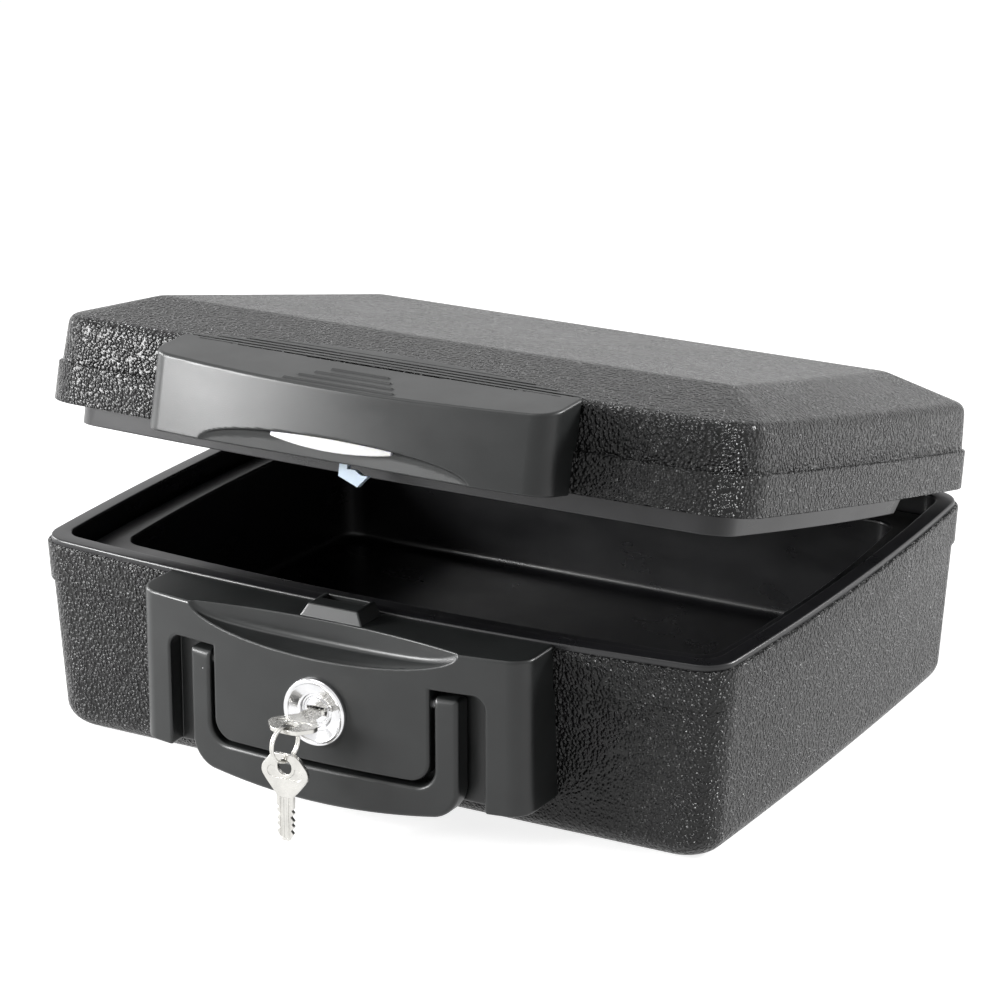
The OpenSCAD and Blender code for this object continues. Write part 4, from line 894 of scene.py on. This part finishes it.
def mineral_fill():
    """Pale cast fill with a sandy surface."""
    m = Nodes("mineral_fill", (0.62, 0.6, 0.54), 0.9)
    m.blend_color(m.noise(90, 6), (0.5, 0.48, 0.43), (0.68, 0.66, 0.6))
    m.bump(m.noise(700, 5), 0.0004, 0.6)
    return m.material


def pale_plastic(name, dark, light):
    """Pale moulding that lets a little light in."""
    m = Nodes(name, light, 0.3)
    m.shader.inputs["Subsurface Weight"].default_value = 0.25
    m.shader.inputs["Subsurface Radius"].default_value = (0.002, 0.002, 0.003)
    m.blend_color(m.noise(160, 3), dark, light)
    m.bump(m.noise(3800, 2), 0.000015, 0.5)
    return m.material


def coated_steel():
    """Black powder coat of the hinges."""
    m = Nodes("coated_steel", (0.03, 0.03, 0.03), 0.42)
    m.blend_color(m.ramp(m.noise(240, 5), 0.45, 0.75, 0, 1), (0.02, 0.02, 0.021),
                  (0.045, 0.045, 0.045))
    m.bump(m.noise(2200, 3), 0.00003, 0.6)
    return m.material


def make_materials():
    """All finishes, by the short names that the pieces use."""
    return {
        "shell": grained_plastic(),
        "liner": satin_plastic("liner_satin", (0.008, 0.008, 0.009), 0.3),
        "housing": satin_plastic("housing_satin", (0.011, 0.012, 0.012), 0.36),
        # Painted shade: the hook is the tab's white plastic, given darker pale blue colours for the
        # shade it hangs in under the lid
        "hook": pale_plastic("pale_plastic", (0.5, 0.6, 0.71), (0.58, 0.67, 0.76)),
        "tab": pale_plastic("tab_white", (0.78, 0.78, 0.78), (0.82, 0.82, 0.82)),
        "fill": mineral_fill(),
        "chrome": metal("chrome", (0.78, 0.78, 0.79), 0.1),
        "nickel": metal("nickel", (0.66, 0.65, 0.62), 0.24),
        "hinge": coated_steel(),
        "steel": metal("zinc_steel", (0.55, 0.55, 0.56), 0.32),
    }


# CAD nodes that show as they are, by finish
CAD_FINISH = {
    "hook": ("latch_hook",),
    "fill": ("base_insulation", "lid_insulation"),
    "hinge": ("hinge_base_leaves", "hinge_lid_leaves"),
    "steel": ("handle_pins", "lock_nut", "lock_cam", "cam_screw", "hook_screws", "cover_screws",
              "housing_screws", "hinge_pins", "hinge_screws_base", "hinge_screws_lid"),
}


def finish_cad_nodes(materials):
    """Gives the CAD nodes that stay their procedural finish."""
    for key, names in CAD_FINISH.items():
        for name in names:
            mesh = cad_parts[name].data
            mesh.materials.clear()
            mesh.materials.append(materials[key])


def moulded_pieces(materials):
    """Satin mouldings on the front of the base and the lid."""
    satin = materials["housing"]
    shaped_piece("lock_front", housing_shape, (-99, -175.3, 20), (99, -133, 92), 0.8, "base",
                 satin, ["lock_housing"])
    shaped_piece("hook_receiver", receiver_shape, (-16, -161.7, 92), (16, -145, 98), 0.35, "base",
                 satin, ["latch_receiver"])
    shaped_piece("handle_bail", handle_shape, (-68.5, -175.3, 10.4), (68.5, -158, 72), 0.7,
                 "handle", satin, ["carry_handle"])
    shaped_piece("lid_front_cover", cover_shape, (-101.5, -175.3, 92.6), (101.5, -120, 140), 0.8,
                 "lid", satin, ["lid_cover"], lid=True)
    shaped_piece("pull_tab_lens", tab_shape, (-30.7, -174.2, 97), (30.7, -170.4, 103.6), 0.4,
                 "lid", materials["tab"], ["pull_tab"], lid=True)


def lock_pieces(materials):
    """Lock, plug, keys and ring."""
    lock_escutcheon(materials)
    split_ring(materials)
    shaped_piece("lock_core", plug_shape, (-8, -174.25, 46.5), (8, -153.5, 62.5), 0.22, "plug",
                 materials["chrome"], ["lock_plug"])
    shaped_piece("key_in_lock", lock_key_shape, (-11.8, -202.25, 53.5), (11.8, -161.2, 55.5), 0.22,
                 "key", materials["nickel"], ["lock_key"])
    shaped_piece("key_on_ring", spare_key_shape, (-11.8, -201.6, 3.2), (11.8, -199.6, 43.7), 0.22,
                 "spare", materials["nickel"], ["spare_key"])


def camera():
    """Camera at the photographed angle, aimed at the middle of the chest."""
    az, el = math.radians(VIEW_AZIMUTH), math.radians(VIEW_ELEVATION)
    back = Vector((math.sin(az) * math.cos(el), -math.cos(az) * math.cos(el), math.sin(el)))
    data = bpy.data.cameras.new("camera")
    data.lens, data.sensor_width = LENS, SENSOR
    cam = bpy.data.objects.new("camera", data)
    cam.location = VIEW_TARGET + back * VIEW_DISTANCE
    cam.rotation_euler = back.to_track_quat("Z", "Y").to_euler()
    bpy.context.scene.collection.objects.link(cam)
    bpy.context.scene.camera = cam


def softbox(name, place, aim, width, height, power):
    data = bpy.data.lights.new(name, "AREA")
    data.shape = "RECTANGLE"
    data.size, data.size_y, data.energy = width, height, power
    lamp = bpy.data.objects.new(name, data)
    lamp.location = place
    lamp.rotation_euler = (Vector(place) - Vector(aim)).to_track_quat("Z", "Y").to_euler()
    bpy.context.scene.collection.objects.link(lamp)


def seen_white(tree, strength):
    """White light that only the camera, mirrors and glass see."""
    path = tree.nodes.new("ShaderNodeLightPath")
    total = path.outputs["Is Camera Ray"]
    for name in ("Is Glossy Ray", "Is Transmission Ray"):
        add = tree.nodes.new("ShaderNodeMath")
        add.operation = "MAXIMUM"
        tree.links.new(total, add.inputs[0])
        tree.links.new(path.outputs[name], add.inputs[1])
        total = add.outputs[0]
    scale = tree.nodes.new("ShaderNodeMath")
    scale.operation = "MULTIPLY"
    scale.inputs[1].default_value = strength
    tree.links.new(total, scale.inputs[0])
    return scale.outputs[0]


def surroundings():
    """White all round for the camera, mirrors and glass, and a faint fill for the rest."""
    world = bpy.data.worlds.new("studio")
    bpy.context.scene.world = world
    world.use_nodes = True
    tree = world.node_tree
    tree.nodes["Background"].inputs["Color"].default_value = (1, 1, 1, 1)
    level = tree.nodes.new("ShaderNodeMix")
    level.data_type = "FLOAT"
    tree.links.new(seen_white(tree, 1.0), level.inputs["Factor"])
    level.inputs["A"].default_value = WORLD_FILL
    level.inputs["B"].default_value = WORLD_SEEN
    tree.links.new(level.outputs["Result"], tree.nodes["Background"].inputs["Strength"])


def pale_floor():
    """Plain floor that keeps the shadow of the chest."""
    mesh = bpy.data.meshes.new("floor")
    corners = ((-1, -1), (1, -1), (1, 1), (-1, 1))
    mesh.from_pydata([(x * FLOOR_HALF, y * FLOOR_HALF, -FLOOR_BELOW) for x, y in corners], [],
                     [(0, 1, 2, 3)])
    floor = bpy.data.objects.new("floor", mesh)
    bpy.context.scene.collection.objects.link(floor)
    m = Nodes("pale_floor", (0.5, 0.5, 0.5), 0.9, specular=0.0)
    m.shader.inputs["Emission Color"].default_value = (1, 1, 1, 1)
    m.link(seen_white(m.tree, FLOOR_SEEN), m.shader.inputs["Emission Strength"])
    m.blend_color(m.noise(3, 2), (0.49, 0.49, 0.49), (0.51, 0.51, 0.51))
    mesh.materials.append(m.material)


def studio():
    surroundings()
    pale_floor()
    for box in SOFT_BOXES:
        softbox(*box)


def main():
    bpy.context.scene.view_settings.view_transform = "Standard"
    camera()
    studio()
    materials = make_materials()
    finish_cad_nodes(materials)
    base_shell_piece(materials)
    base_liner_piece(materials)
    lid_shell_piece(materials)
    lid_liner_piece(materials)
    moulded_pieces(materials)
    lock_pieces(materials)


main()
